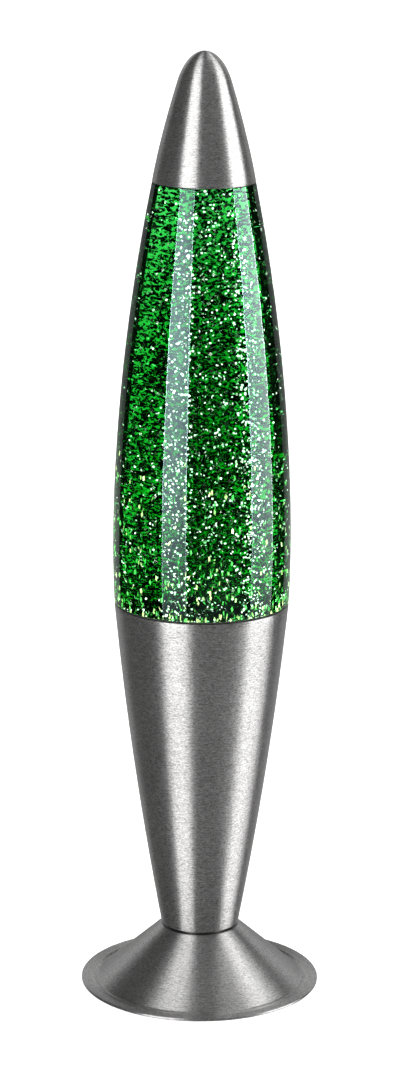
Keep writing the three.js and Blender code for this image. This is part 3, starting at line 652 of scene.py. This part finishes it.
def cavity_line():
    """Inside of the bottle from the middle of its floor to the bore of its neck."""
    floor = BOTTLE_BOTTOM + GLASS_FLOOR
    bottom = [(0, floor + 1.5)] + bend((8, floor + 1.2), (16, floor), (HEEL_START, floor), 10)
    corner_top = BOTTLE_BOTTOM + 12
    low_side = plug_radius(corner_top) - GLASS_WALL
    corner = bend((HEEL_START, floor), (low_side - 0.6, floor), (low_side, corner_top), 12)[1:]
    wall = inset(BOTTLE_SIDE, GLASS_WALL)[3:]
    top = bend(wall[-1], (BOTTLE_SHOULDER[0] - 3.5, 369.5), (NECK_BORE, NECK_BOTTOM - 1), 12)[1:]
    return bottom + corner + wall + top


def make_bottle():
    bottom = BOTTLE_BOTTOM
    punt = [(0, bottom + 1.2)] + bend((10, bottom + 1.2), (22, bottom + 1), (HEEL_START, bottom), 8)
    heel = bend((27, bottom), (plug_radius(bottom), bottom), (plug_radius(bottom + 5), bottom + 5), 10)
    step = [(plug_radius(CUP_TOP - 1), CUP_TOP - 1)]
    step += bend((plug_radius(CUP_TOP), CUP_TOP + 0.9), (BOTTLE_STEP[0], CUP_TOP + 0.95), BOTTLE_STEP, 5)
    neck = rounded([
        SHOULDER[-1], (NECK_RADIUS, NECK_TOP, 1.2), (NECK_BORE, NECK_TOP, 0.8), (NECK_BORE, NECK_BOTTOM),
    ])
    outline = punt + heel + step + BOTTLE_SIDE[1:] + SHOULDER + neck[1:-1] + cavity_line()[::-1]

    def wetted(r, z):
        """Whether a face of the glass is on the liquid's side of the middle of the wall."""
        middle = np.interp(z, [p[1] for p in BOTTLE_SIDE], [p[0] for p in BOTTLE_SIDE]) - 1.2
        if z < BOTTLE_STEP[1]:
            middle = plug_radius(z) - 1.2
        return BOTTLE_BOTTOM + 2.5 < z < LIQUID_LEVEL and r < middle

    mesh = revolve("glass_bottle", outline, second=wetted)
    piece("glass_bottle", mesh, "bottle_glass", BOTTLE_GLASS, WETTED)


def liquid_line():
    """Outer line of the liquid, from the middle of its floor to its surface."""
    wet = [p for p in inset(cavity_line(), 0.12) if p[1] < LIQUID_LEVEL]
    wet[0] = (0, wet[1][1] + 0.3)
    return wet


def make_liquid():
    wet = liquid_line()
    surface = [(wet[-1][0] - 0.8, LIQUID_LEVEL - 0.5), (0, LIQUID_LEVEL - 0.5)]
    piece("green_liquid", revolve("green_liquid", wet + surface), "liquid", LIQUID)


FLAKES = 28500
FLAKE_RADIUS = (0.5, 0.95)
FLAKE_THICKNESS = 0.05
FLAKE_SEED = 7
# How far the flakes tip away from lying level: 1 would be any way up at all.
FLAKE_TILT = 1.2
# Flakes that glow by themselves as painted glints, and their sizes.
PAINTED_GLINT_FLAKES = 1150
PAINTED_GLINT_RADIUS = (0.42, 0.66)
# The side of the bottle, in degrees from the camera, where most of these flakes are.
PAINTED_GLINT_SIDE = 22
# Flakes that glow with painted warm and green light from the bulb.
PAINTED_WARM_FLAKES = 330
PAINTED_GREEN_FLAKES = 450
# Glowing flakes close behind the glass, painted glints where each strip light shows, and the sides of the
# bottle that they are on, in degrees from the camera.
PAINTED_BAND_GLINTS = 430
BANDS = ((-29, -8), (30, 50))
# How far up from the cup's mouth the flakes glow with painted light from the bulb.
PAINTED_BULB_LIGHT_HEIGHT = 70


def flake_mesh(name, places, sizes, normals, spins, stretch=1.0):
    """Square flakes, each a closed and very flat pyramid, joined in one mesh."""
    count = len(places)
    helper = np.where(np.abs(normals[:, 2:3]) < 0.9, [[0.0, 0, 1]], [[1.0, 0, 0]])
    side = np.cross(helper, normals)
    side /= np.linalg.norm(side, axis=1, keepdims=True)
    up = np.cross(normals, side)
    corners = []
    for k in range(4):
        angle = spins + k * math.pi / 2
        across = side * (np.cos(angle) * sizes)[:, None]
        along = up * (np.sin(angle) * sizes * stretch)[:, None]
        corners.append(places + across + along)
    peak = places + normals * FLAKE_THICKNESS
    verts = np.stack([*corners, peak], axis=1).reshape(-1, 3) * MM
    pattern = [(0, 1, 4), (1, 2, 4), (2, 3, 4), (3, 0, 4), (2, 1, 0), (3, 2, 0)]
    faces = (np.arange(count)[:, None, None] * 5 + np.array(pattern)[None]).reshape(-1, 3)
    mesh = bpy.data.meshes.new(name)
    mesh.from_pydata(verts.tolist(), [], faces.tolist())
    mesh.update()
    return mesh


def scatter(random, count, bottom, top, depth=None, sided=False, band=None):
    """Random places in the liquid between two heights.

    depth keeps them within so many mm of its outside, mostly close to it. sided crowds them round
    PAINTED_GLINT_SIDE, and band keeps them between two directions, in degrees.
    """
    line = [p for p in liquid_line() if p[1] > bottom - 2]
    heights = [p[1] for p in line]
    radii = [p[0] for p in line]
    found = np.zeros((0, 3))
    reach = max(radii)
    while len(found) < count:
        place = random.uniform((-reach, -reach, bottom), (reach, reach, top), (count * 2, 3))
        inside = np.interp(place[:, 2], heights, radii) - 1.1 - np.hypot(place[:, 0], place[:, 1])
        good = inside > 0
        if depth:
            good &= inside < depth * random.uniform(0, 1, len(place)) ** 2
        if sided:
            turn = np.arctan2(place[:, 0], -place[:, 1]) - math.radians(PAINTED_GLINT_SIDE)
            good &= random.uniform(0, 1, len(place)) < 0.12 + 0.88 * np.cos(turn).clip(0) ** 3
        if band:
            turn = np.degrees(np.arctan2(place[:, 0], -place[:, 1]))
            good &= (turn > band[0]) & (turn < band[1])
        found = np.vstack([found, place[good]])
    return found[:count]


def make_glitter():
    random = np.random.default_rng(FLAKE_SEED)

    def strew(name, finish, places, radius, stretch=1.0):
        count = len(places)
        normals = random.normal(0, 1, (count, 3)) * (FLAKE_TILT, FLAKE_TILT, 1)
        if stretch > 1:
            normals[:, 2] *= 0.3
        normals /= np.linalg.norm(normals, axis=1, keepdims=True)
        sizes = random.uniform(*radius, count)
        spins = random.uniform(0, math.pi, count)
        mesh = flake_mesh(name, places, sizes, normals, spins, stretch)
        piece(name, mesh, "liquid", finish, replaces=False)

    bottom = BOTTLE_BOTTOM + GLASS_FLOOR + 3
    top = LIQUID_LEVEL - 2.5
    glow_bottom = CUP_TOP - 1
    strew("glitter_flakes", FLAKE, scatter(random, FLAKES, bottom, top), FLAKE_RADIUS)
    # Glowing flakes, painted glints: near the front, low in the bottle and where the strip lights show.
    glint_places = scatter(random, PAINTED_GLINT_FLAKES, bottom, top, 22, sided=True)
    low_glint_places = scatter(random, PAINTED_GLINT_FLAKES // 4, glow_bottom, glow_bottom + PAINTED_BULB_LIGHT_HEIGHT, 12)
    band_glint_places = [scatter(random, PAINTED_BAND_GLINTS, glow_bottom, top - 12, 9, band=band) for band in BANDS]
    strew("flakes_with_painted_glint", PAINTED_GLINT_GLITTER, np.vstack([glint_places, low_glint_places, *band_glint_places]), PAINTED_GLINT_RADIUS)
    # Flakes low in the bottle that glow with painted warm and green light from the bulb.
    painted_bulb_light = (("flakes_with_painted_warm_light", PAINTED_WARM_LIGHT_GLITTER, PAINTED_WARM_FLAKES), ("flakes_with_painted_green_light", PAINTED_GREEN_LIGHT_GLITTER, PAINTED_GREEN_FLAKES))
    for name, finish, count in painted_bulb_light:
        places = scatter(random, count, glow_bottom, glow_bottom + 2, 16)
        places[:, 2] += random.uniform(0, 1, count) ** 2.4 * PAINTED_BULB_LIGHT_HEIGHT
        strew(name, finish, places, PAINTED_GLINT_RADIUS, stretch=2.4)


make_bottle()
make_liquid()
make_glitter()

# ---------------------------------------------------------------- seat ring and crown closure


GAP = 0.3


def make_seat_ring():
    wall = 1.0
    bottom = low("seat_ring")
    top = high("seat_ring")
    lip = wide("seat_ring")
    heights = (bottom, bottom + 6, bottom + 11, CUP_TOP - SHEET)
    outer = [(cup_radius(z) - SHEET - GAP, z) for z in heights]
    neck = outer[-1][0]
    inner = [(r - wall, z) for r, z in outer]
    outline = rounded([
        (*inner[0], 0.3), (*outer[0], 0.3), *outer[1:3], (neck, CUP_TOP - 1.5), (neck, top - 0.5),
        (lip, top - 0.5, 0.15), (lip, top, 0.2), (inner[-1][0], top, 0.3), *inner[-2:0:-1],
    ], 3)
    piece("seat_ring_smooth", revolve("seat_ring_smooth", outline), "seat_ring", RUBBER)


CROWN_FLUTES = 21


def make_crown():
    bottom = low("crown_closure")
    top = high("crown_closure")
    sheet = 0.5
    body = 14.6
    wave = 0.35
    skirt_top = top - 1.8
    rim = wide("crown_closure") - wave
    outer = rounded([
        (0, top), (body - 1.4, top - 0.2, 2.4), (body, skirt_top, 1.2), (rim, bottom, 0.15),
    ], 6)
    inner = [(rim - sheet, bottom), (body - sheet, skirt_top, 1.0), (body - 1.9, top - sheet - 0.2, 1.6)]
    outline = outer + rounded(inner + [(0, top - sheet)], 6)[1:]
    outline.insert(len(outer), (rim - sheet, bottom))

    def fluted(r, z, angle):
        share = min(max((skirt_top - z) / (skirt_top - bottom), 0), 1)
        return share * wave * math.cos(CROWN_FLUTES * angle)

    mesh = revolve("crown_fluted", outline, sides=CROWN_FLUTES * 12, ripple=fluted)
    piece("crown_fluted", mesh, "crown_closure", TINPLATE)


def make_liner():
    r = wide("crown_liner")
    bottom = low("crown_liner")
    top = high("crown_liner")
    outline = rounded([(0, bottom), (r, bottom, 0.25), (r, top, 0.25), (0, top)], 3)
    piece("liner_disc", revolve("liner_disc", outline, sides=SMALL_SIDES), "crown_liner", LINER)


make_seat_ring()
make_crown()
make_liner()

# ---------------------------------------------------------------- bulb and lampholder

THREAD_PITCH = 2.82
THREAD_DEPTH = 0.3
BULB_THREAD_RADIUS = 6.65
HOLDER_BORE = 11.0


def thread(bottom, top):
    """Right-hand thread between two heights, fading out over a millimetre at each end."""

    def wave(r, z, angle):
        fade = min(max(min(z - bottom, top - z), 0), 1)
        return fade * THREAD_DEPTH * math.cos(2 * math.pi * z / THREAD_PITCH - angle)

    return wave


def upright(r, bottom, top, step=0.3):
    """Points straight up a wall, close enough for a thread to show."""
    count = max(int((top - bottom) / step), 1)
    return [(r, bottom + (top - bottom) * i / count) for i in range(count + 1)]


def make_bulb_glass():
    neck_bottom = low("bulb_glass")
    top = high("bulb_glass")
    rim = wide("bulb_glass")
    neck = 7.7
    wall = 0.7
    rim_z = top - 13
    neck_top = high("bulb_cap") + 5
    outer = [(neck, neck_bottom)]
    outer += bend((neck, neck_top), (rim - 4.5, neck_top + 10), (rim - 0.3, rim_z - 2), 24)
    outer += bend((rim - 0.1, rim_z - 0.8), (rim, rim_z), (rim - 0.05, rim_z + 1), 5)
    outer += bend((rim - 0.4, rim_z + 3), (rim - 5.5, top), (0, top), 20)
    inner = inset(outer, wall)
    inner[0] = (neck - wall, neck_bottom)
    inner[-1] = (0, top - wall)
    outline = inner[::-1] + outer
    mesh = revolve("reflector_bulb", outline, sides=SMALL_SIDES, second=lambda r, z: z > rim_z + 1)
    piece("reflector_bulb", mesh, "bulb_glass", SILVERED, FROSTED)


def make_bulb_cap():
    bottom = low("bulb_cap")
    top = high("bulb_cap")
    skirt = wide("bulb_cap")
    screw = BULB_THREAD_RADIUS - THREAD_DEPTH
    sheet = 0.4
    screw_top = top - 6.5
    mouth = screw - 1.3
    outer = [(mouth, bottom)] + bend((mouth + 0.6, bottom), (screw, bottom), (screw, bottom + 1.2), 5)
    outer += upright(screw, bottom + 1.4, screw_top)
    outer += rounded([(screw, screw_top + 0.2), (skirt, screw_top + 2, 0.5), (skirt, top, 0.15)], 4)[1:]
    inner = rounded([
        (skirt - sheet, top), (skirt - sheet, screw_top + 2.3, 0.4), (screw - sheet, screw_top + 0.3),
    ], 4)
    inner += upright(screw - sheet, bottom + 1.5, screw_top)[::-1] + [(mouth, bottom + sheet)]
    wave = thread(bottom + 1.2, screw_top)
    mesh = revolve("screw_cap", outer + inner, sides=SMALL_SIDES, ripple=wave, sharp_degrees=50)
    piece("screw_cap", mesh, "bulb_cap", NICKEL)


def make_tip():
    bottom = low("bulb_tip")
    top = high("bulb_tip")
    r = wide("bulb_tip")
    outline = bend((0, bottom), (r, bottom), (r, bottom + 1.2), 8) + [(r, top), (0, top)]
    piece("solder_tip", revolve("solder_tip", outline, sides=48), "bulb_tip", SOLDER)
    bottom = low("bulb_insulator")
    top = high("bulb_insulator")
    outer = wide("bulb_insulator")
    bore = r + GAP
    outline = rounded([
        (bore, bottom), (3, bottom, 0.3), (outer, bottom + 2.2, 0.5), (outer, top), (bore, top),
    ], 4)
    mesh = revolve("glass_insulator", outline, sides=64)
    piece("glass_insulator", mesh, "bulb_insulator", BLACK_GLASS)


def make_holder():
    outer = wide("holder_skirt")
    bottom = low("holder_skirt")
    top = high("holder_skirt")
    mouth = wide("screw_contact") + GAP
    corners = [(HOLDER_BORE, bottom), (outer, bottom, 0.3)]
    groove = 2.4
    for i in range(3):
        z = bottom + 4 + i * 2 * groove
        corners += [(outer, z, 0.3), (outer - 0.6, z + 0.4, 0.3)]
        corners += [(outer - 0.6, z + groove, 0.3), (outer, z + groove + 0.4, 0.3)]
    corners += [(outer, top, 0.8), (mouth, top, 0.3), (mouth, top - 2), (HOLDER_BORE, top - 3.5)]
    mesh = revolve("holder_shell", rounded(corners, 3), SMALL_SIDES)
    piece("holder_shell", mesh, "holder_skirt", BAKELITE)

    entry_bottom = low("holder_base")
    split = high("holder_base")
    entry = 7.6
    shoulder = 42
    bore = TUBE_HOLE
    outline = [(bore, entry_bottom)] + rounded([(entry, entry_bottom, 0.4), (entry, shoulder - 2)], 3)
    outline += bend((entry, shoulder - 1), (outer, shoulder - 1), (outer, shoulder + 5), 12)
    outline += [(outer, split), (HOLDER_BORE, split), (HOLDER_BORE, shoulder + 5)]
    outline += [(HOLDER_BORE - 3, shoulder + 2), (bore, shoulder + 2)]
    mesh = revolve("holder_shell_base", outline, SMALL_SIDES)
    piece("holder_shell_base", mesh, "holder_base", BAKELITE)

    sleeve = wide("screw_contact")
    sheet = 0.4
    floor = low("screw_contact")
    rim = high("screw_contact")
    outline = [(4.2, floor), (sleeve - 0.1, floor)] + upright(sleeve - 0.1, floor + 0.3, rim)
    outline += upright(sleeve - sheet + 0.05, floor + sheet, rim)[::-1] + [(4.2, floor + sheet)]

    def wave(r, z, angle):
        return thread(floor + 2, rim - 0.5)(r, z, angle) / 3

    mesh = revolve("threaded_sleeve", outline, SMALL_SIDES, ripple=wave, sharp_degrees=50)
    piece("threaded_sleeve", mesh, "screw_contact", BRASS)


make_bulb_glass()
make_bulb_cap()
make_tip()
make_holder()

# ---------------------------------------------------------------- inlet grommet and bottom cover


def make_grommet():
    """A bushing along Y whose two collars follow the cone's wall."""
    hole_z = inlet_axis()[1]
    bore, tube, collar = 3.2, 4.6, wide("inlet_grommet")
    middle = CONE_TOP[0] + (CONE_TOP[1] - hole_z) * CONE_SLOPE
    inner_end = low_y("inlet_grommet") - middle
    outer_end = 4.5
    # Each ring: radius, distance along Y from the hole's middle, or distance out from the cone's wall.
    profile = [
        (bore, inner_end, None), (tube - 0.3, inner_end, None), (tube, inner_end + 0.3, None),
        (tube, None, -2.2), (collar - 0.3, None, -2.2), (collar, None, -1.9), (collar, None, -1.15),
        (tube, None, -1.15), (tube, None, 0.35), (collar, None, 0.35), (collar, None, 1.1),
        (collar - 0.4, None, 1.5), (tube, None, 1.5), (tube, outer_end - 0.3, None),
        (tube - 0.3, outer_end, None), (bore + 0.2, outer_end, None), (bore, outer_end - 0.2, None),
    ]
    bm = bmesh.new()
    rings = []
    for radius, along, out in profile:
        ring = []
        for i in range(SMALL_SIDES):
            angle = 2 * math.pi * i / SMALL_SIDES
            x = radius * math.cos(angle)
            z = hole_z + radius * math.sin(angle)
            y = middle + along if out is None else None
            if y is None:
                wall = CONE_TOP[0] + (CONE_TOP[1] - z) * CONE_SLOPE + out * CONE_STRETCH
                y = math.sqrt(wall ** 2 - x ** 2)
            ring.append(bm.verts.new((x * MM, y * MM, z * MM)))
        rings.append(ring)
    for a, b in zip(rings, rings[1:] + rings[:1]):
        for i in range(SMALL_SIDES):
            j = (i + 1) % SMALL_SIDES
            bm.faces.new((a[i], a[j], b[j], b[i]))
    piece("grommet_smooth", finish_mesh("grommet_smooth", bm), "inlet_grommet", RUBBER)


VENTS = 8
VENT_SIZE = (12, 2.6)
VENT_RADIUS = 30
COVER_SCREW_HOLE = 1.6
COVER_CUT = 10


def make_cover():
    r = wide("bottom_cover")
    bottom = low("bottom_cover")
    top = bottom + 1.5
    wall_top = high("bottom_cover")
    wall_outer = 40.2
    wall_inner = 39
    outline = rounded([
        (0, bottom), (r, bottom, 0.4), (r, top, 0.3), (wall_outer, top, 0.3), (wall_outer, wall_top, 0.25),
        (wall_inner, wall_top, 0.25), (wall_inner, top, 0.3), (0, top),
    ], 3)
    made = piece("vented_cover", revolve("vented_cover", outline), "bottom_cover", BLACK_PLASTIC)
    holes = bmesh.new()
    length, width = VENT_SIZE
    out = Matrix.Translation((0, VENT_RADIUS * MM, bottom * MM))
    size = Matrix.Diagonal((length * MM, width * MM, COVER_CUT * MM, 1))
    for i in range(VENTS):
        turn = Matrix.Rotation(2 * math.pi * (i + 0.5) / VENTS, 4, "Z")
        bmesh.ops.create_cube(holes, matrix=turn @ out @ size)
    screw_low, screw_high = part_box("block_screw")
    screw_x = (screw_low.x + screw_high.x) / 2
    screw_y = (screw_low.y + screw_high.y) / 2
    place = Matrix.Translation((screw_x, screw_y, bottom * MM))
    add_rod(holes, place, COVER_SCREW_HOLE, COVER_CUT, segments=48)
    cut_out(made, holes)


make_grommet()
make_cover()

# ---------------------------------------------------------------- carried-over CAD nodes

CAD_FINISHES = {
    "threaded_nipple": ZINC,
    "upper_washer": ZINC,
    "upper_nut": ZINC,
    "lower_washer": ZINC,
    "lower_nut": ZINC,
    "holder_insert": CERAMIC,
    "centre_contact": BRASS,
    "bulb_stem": STEM_GLASS,
    "bulb_filament": TUNGSTEN,
    "terminal_block": BLOCK,
    "block_screw": ZINC,
    "terminal_screw_1": BRASS,
    "terminal_screw_2": BRASS,
    "terminal_screw_3": BRASS,
    "terminal_screw_4": BRASS,
    "live_lead": BROWN,
    "neutral_lead": BLUE,
}

for node, finish in CAD_FINISHES.items():
    data = frame["nodes"][node].data
    data.materials.clear()
    data.materials.append(finish)

# ---------------------------------------------------------------- studio

FLOOR_SIZE = 60
FLOOR_DROP = 0.0002
STRIP_LIGHT = 9.4
# How much brighter than the strip the line along each of its edges is.
STRIP_LINE = 1.5
# Light from the dark room.
ROOM = 0.012
TABLE_BEHIND = 1.08
WALL_BEHIND = 0.75
REAR_PANEL = 1.0
# The table behind the lamp as seen through the bottle: in the middle, and how much more at each side.
TABLE_LEFT = 0.75
TABLE_RIGHT = 0.65
# The middle of the table begins between these two directions on each side.
TABLE_MIDDLE = (160, 172)
# The same table as seen in gloss.
TABLE_GLOSS = 0.43
# How much of what is behind shows in gloss near level, where the sides of the bottle mirror it.
REAR_LEVEL_GLOSS = 0.45
# Directions round the lamp in degrees: 0 towards the camera, positive to its right.
LEFT_STRIP = (-53, -20)
RIGHT_STRIP = (67, 104)
HIGH_LEFT = (-80, -24)
HIGH_RIGHT = (102, 150)
# Where the bright part behind the lamp starts: on its left and its right for light straight through
# the bottle, and on both sides as seen in gloss.
REAR_EDGE = 133
REAR_RIGHT_EDGE = 127
REAR_GLOSS_EDGE = 135
# Where the panels at the two sides of that part end.
REAR_PANEL_END = 168
# The panels and the wall behind end at this height, in degrees.
REAR_TOP = 32
# The white room behind the camera, which only light straight through the bottle sees.
FRONT_EDGE = 105
FRONT_WHITE = 0.9
# The strips' brightness at heights in degrees.
STRIP_HEIGHTS = (
    (-28, 0.4), (-22, 0.06), (-17, 0.2), (-8, 0.58), (2, 0.92), (11, 0.76), (18, 0.42), (50, 0.42),
)
# From here up, two wider strips take over, and end at HIGH_END.
HIGH_START = 50
HIGH_END = 77
HIGH_LIGHT = 0.42
# A faint glow from the front, which the metal mirrors and the bottle does not.
FRONT_GLOW = 0.24
FRONT_GLOW_EDGES = (-12, 58)


def make_world():
    """Two tall strip lights in front, a pale table, panels and wall behind, and a dark room between.

    Directions round the lamp and heights are in degrees, and every level is a share of plain white.
    """
    world = bpy.data.worlds.new("studio")
    bpy.context.scene.world = world
    world.use_nodes = True
    g = Graph(world.node_tree)
    split = g.add("ShaderNodeSeparateXYZ", Vector=g.add("ShaderNodeTexCoord").outputs["Generated"])
    x, y, z = split.outputs
    degree = 180 / math.pi
    around = g.math("MULTIPLY", g.math("ARCTAN2", x, g.math("MULTIPLY", y, -1.0)), degree)
    height = g.math("MULTIPLY", g.math("ARCSINE", z), degree)
    side = g.math("ABSOLUTE", around)
    slant = g.math("ABSOLUTE", height)

    def between(value, start, end, soft=0.4):
        rise = g.ramp(value, start - soft, start + soft)
        fall = g.ramp(value, end - soft, end + soft, 1.0, 0.0)
        return g.math("MULTIPLY", rise, fall)

    def strip(start, end, line=1.5, far_end=1.0):
        """A strip light with a brighter line along each edge."""
        body = between(around, start, end)
        body = g.math("MULTIPLY", body, g.ramp(around, (start + end) / 2, end, 1.0, far_end))
        edges = g.math("ADD", between(around, start, start + line), between(around, end - line, end))
        return g.math("ADD", body, g.math("MULTIPLY", edges, STRIP_LINE))

    strips = g.math("ADD", strip(*LEFT_STRIP, far_end=0.7), strip(*RIGHT_STRIP))
    strips = g.math("MULTIPLY", strips, g.levels(height, 90, STRIP_HEIGHTS))
    overhead = g.math("ADD", between(around, *HIGH_LEFT, 2), between(around, *HIGH_RIGHT, 2))
    overhead = g.math("MULTIPLY", overhead, HIGH_LIGHT)
    strips = g.blend(g.ramp(height, HIGH_START - 4, HIGH_START + 4), strips, overhead)
    strips = g.math("MULTIPLY", strips, g.ramp(height, HIGH_END - 3, HIGH_END + 3, STRIP_LIGHT, 0.0))
    # 1 for light seen straight through the bottle, which nothing mirrors, and 0 for all other light.
    path = g.add("ShaderNodeLightPath").outputs
    straight = g.math("LESS_THAN", path["Glossy Depth"], 0.5)
    through = g.math("MULTIPLY", straight, path["Is Transmission Ray"])
    rear_edge = g.blend(g.math("GREATER_THAN", around, 0.0), REAR_EDGE, REAR_RIGHT_EDGE)
    edge = g.blend(through, REAR_GLOSS_EDGE, rear_edge)
    behind = g.ramp(g.math("SUBTRACT", side, edge), -1, 1)
    panels = g.ramp(side, REAR_PANEL_END - 4, REAR_PANEL_END + 4, REAR_PANEL, WALL_BEHIND)
    panels = g.math("MULTIPLY", panels, g.ramp(height, REAR_TOP - 5, REAR_TOP + 5, 1.0, 0.0))
    middle_start, middle_end = TABLE_MIDDLE
    on_left = g.ramp(around, -middle_end, -middle_start)
    on_left = g.math("MULTIPLY", on_left, g.math("LESS_THAN", around, 0.0))
    on_right = g.ramp(around, middle_start, middle_end, 1.0, 0.0)
    on_right = g.math("MULTIPLY", on_right, g.math("GREATER_THAN", around, 0.0))
    more = g.math("MULTIPLY", on_left, TABLE_LEFT)
    more = g.math("ADD", more, g.math("MULTIPLY", on_right, TABLE_RIGHT))
    table = g.blend(through, TABLE_GLOSS, g.math("ADD", more, TABLE_BEHIND))
    rear = g.math("MULTIPLY", behind, g.blend(g.ramp(height, -3, 3), table, panels))
    level_gloss = g.ramp(slant, 9, 14, REAR_LEVEL_GLOSS, 1.0)
    rear = g.math("MULTIPLY", rear, g.blend(through, level_gloss, 1.0))
    front = g.math("MULTIPLY", g.ramp(side, FRONT_EDGE - 25, FRONT_EDGE, FRONT_WHITE, 0.0), through)
    glow = g.math("MULTIPLY", between(around, *FRONT_GLOW_EDGES, 22), g.ramp(slant, 12, 20))
    room = g.math("ADD", g.math("MULTIPLY", glow, FRONT_GLOW), ROOM)
    light = g.math("ADD", g.math("ADD", strips, rear), room)
    light = g.math("MAXIMUM", light, front)
    background = g.add("ShaderNodeBackground", Color=grey(1), Strength=light)
    white = g.add("ShaderNodeBackground", Color=grey(1), Strength=1.0)
    seen = path["Is Camera Ray"]
    both = g.add("ShaderNodeMixShader")
    g.feed(both, 0, seen)
    g.feed(both, 1, background.outputs[0])
    g.feed(both, 2, white.outputs[0])
    output = g.add("ShaderNodeOutputWorld")
    g.feed(output, "Surface", both.outputs[0])


def make_floor():
    bm = bmesh.new()
    bmesh.ops.create_grid(bm, x_segments=2, y_segments=2, size=FLOOR_SIZE / 2)
    mesh = finish_mesh("floor", bm)
    floor = bpy.data.objects.new("floor", mesh)
    floor.location.z = -FLOOR_DROP
    bpy.context.scene.collection.objects.link(floor)
    made, g, shader = material("pale_floor")
    g.feed(shader, "Base Color", grey(0.92))
    g.feed(shader, "Emission Color", grey(1))
    g.feed(shader, "Emission Strength", 0.25)
    g.feed(shader, "Roughness", 0.9)
    g.feed(shader, "Specular IOR Level", 0.0)
    mesh.materials.append(made)
    # Reflections and the view through the bottle see the studio beyond the floor, not the floor.
    floor.visible_glossy = False
    floor.visible_transmission = False
    floor.visible_shadow = False


def make_fill_light():
    """A broad overhead light for the floor and dull surfaces, which no gloss shows."""
    data = bpy.data.lights.new("fill", "SUN")
    data.angle = math.radians(120)
    data.energy = 2.2
    light = bpy.data.objects.new("fill", data)
    light.visible_glossy = False
    light.visible_transmission = False
    bpy.context.scene.collection.objects.link(light)


make_world()
make_floor()
make_fill_light()
bpy.context.scene.view_settings.view_transform = "Standard"
bpy.context.scene.cycles.use_denoising = True
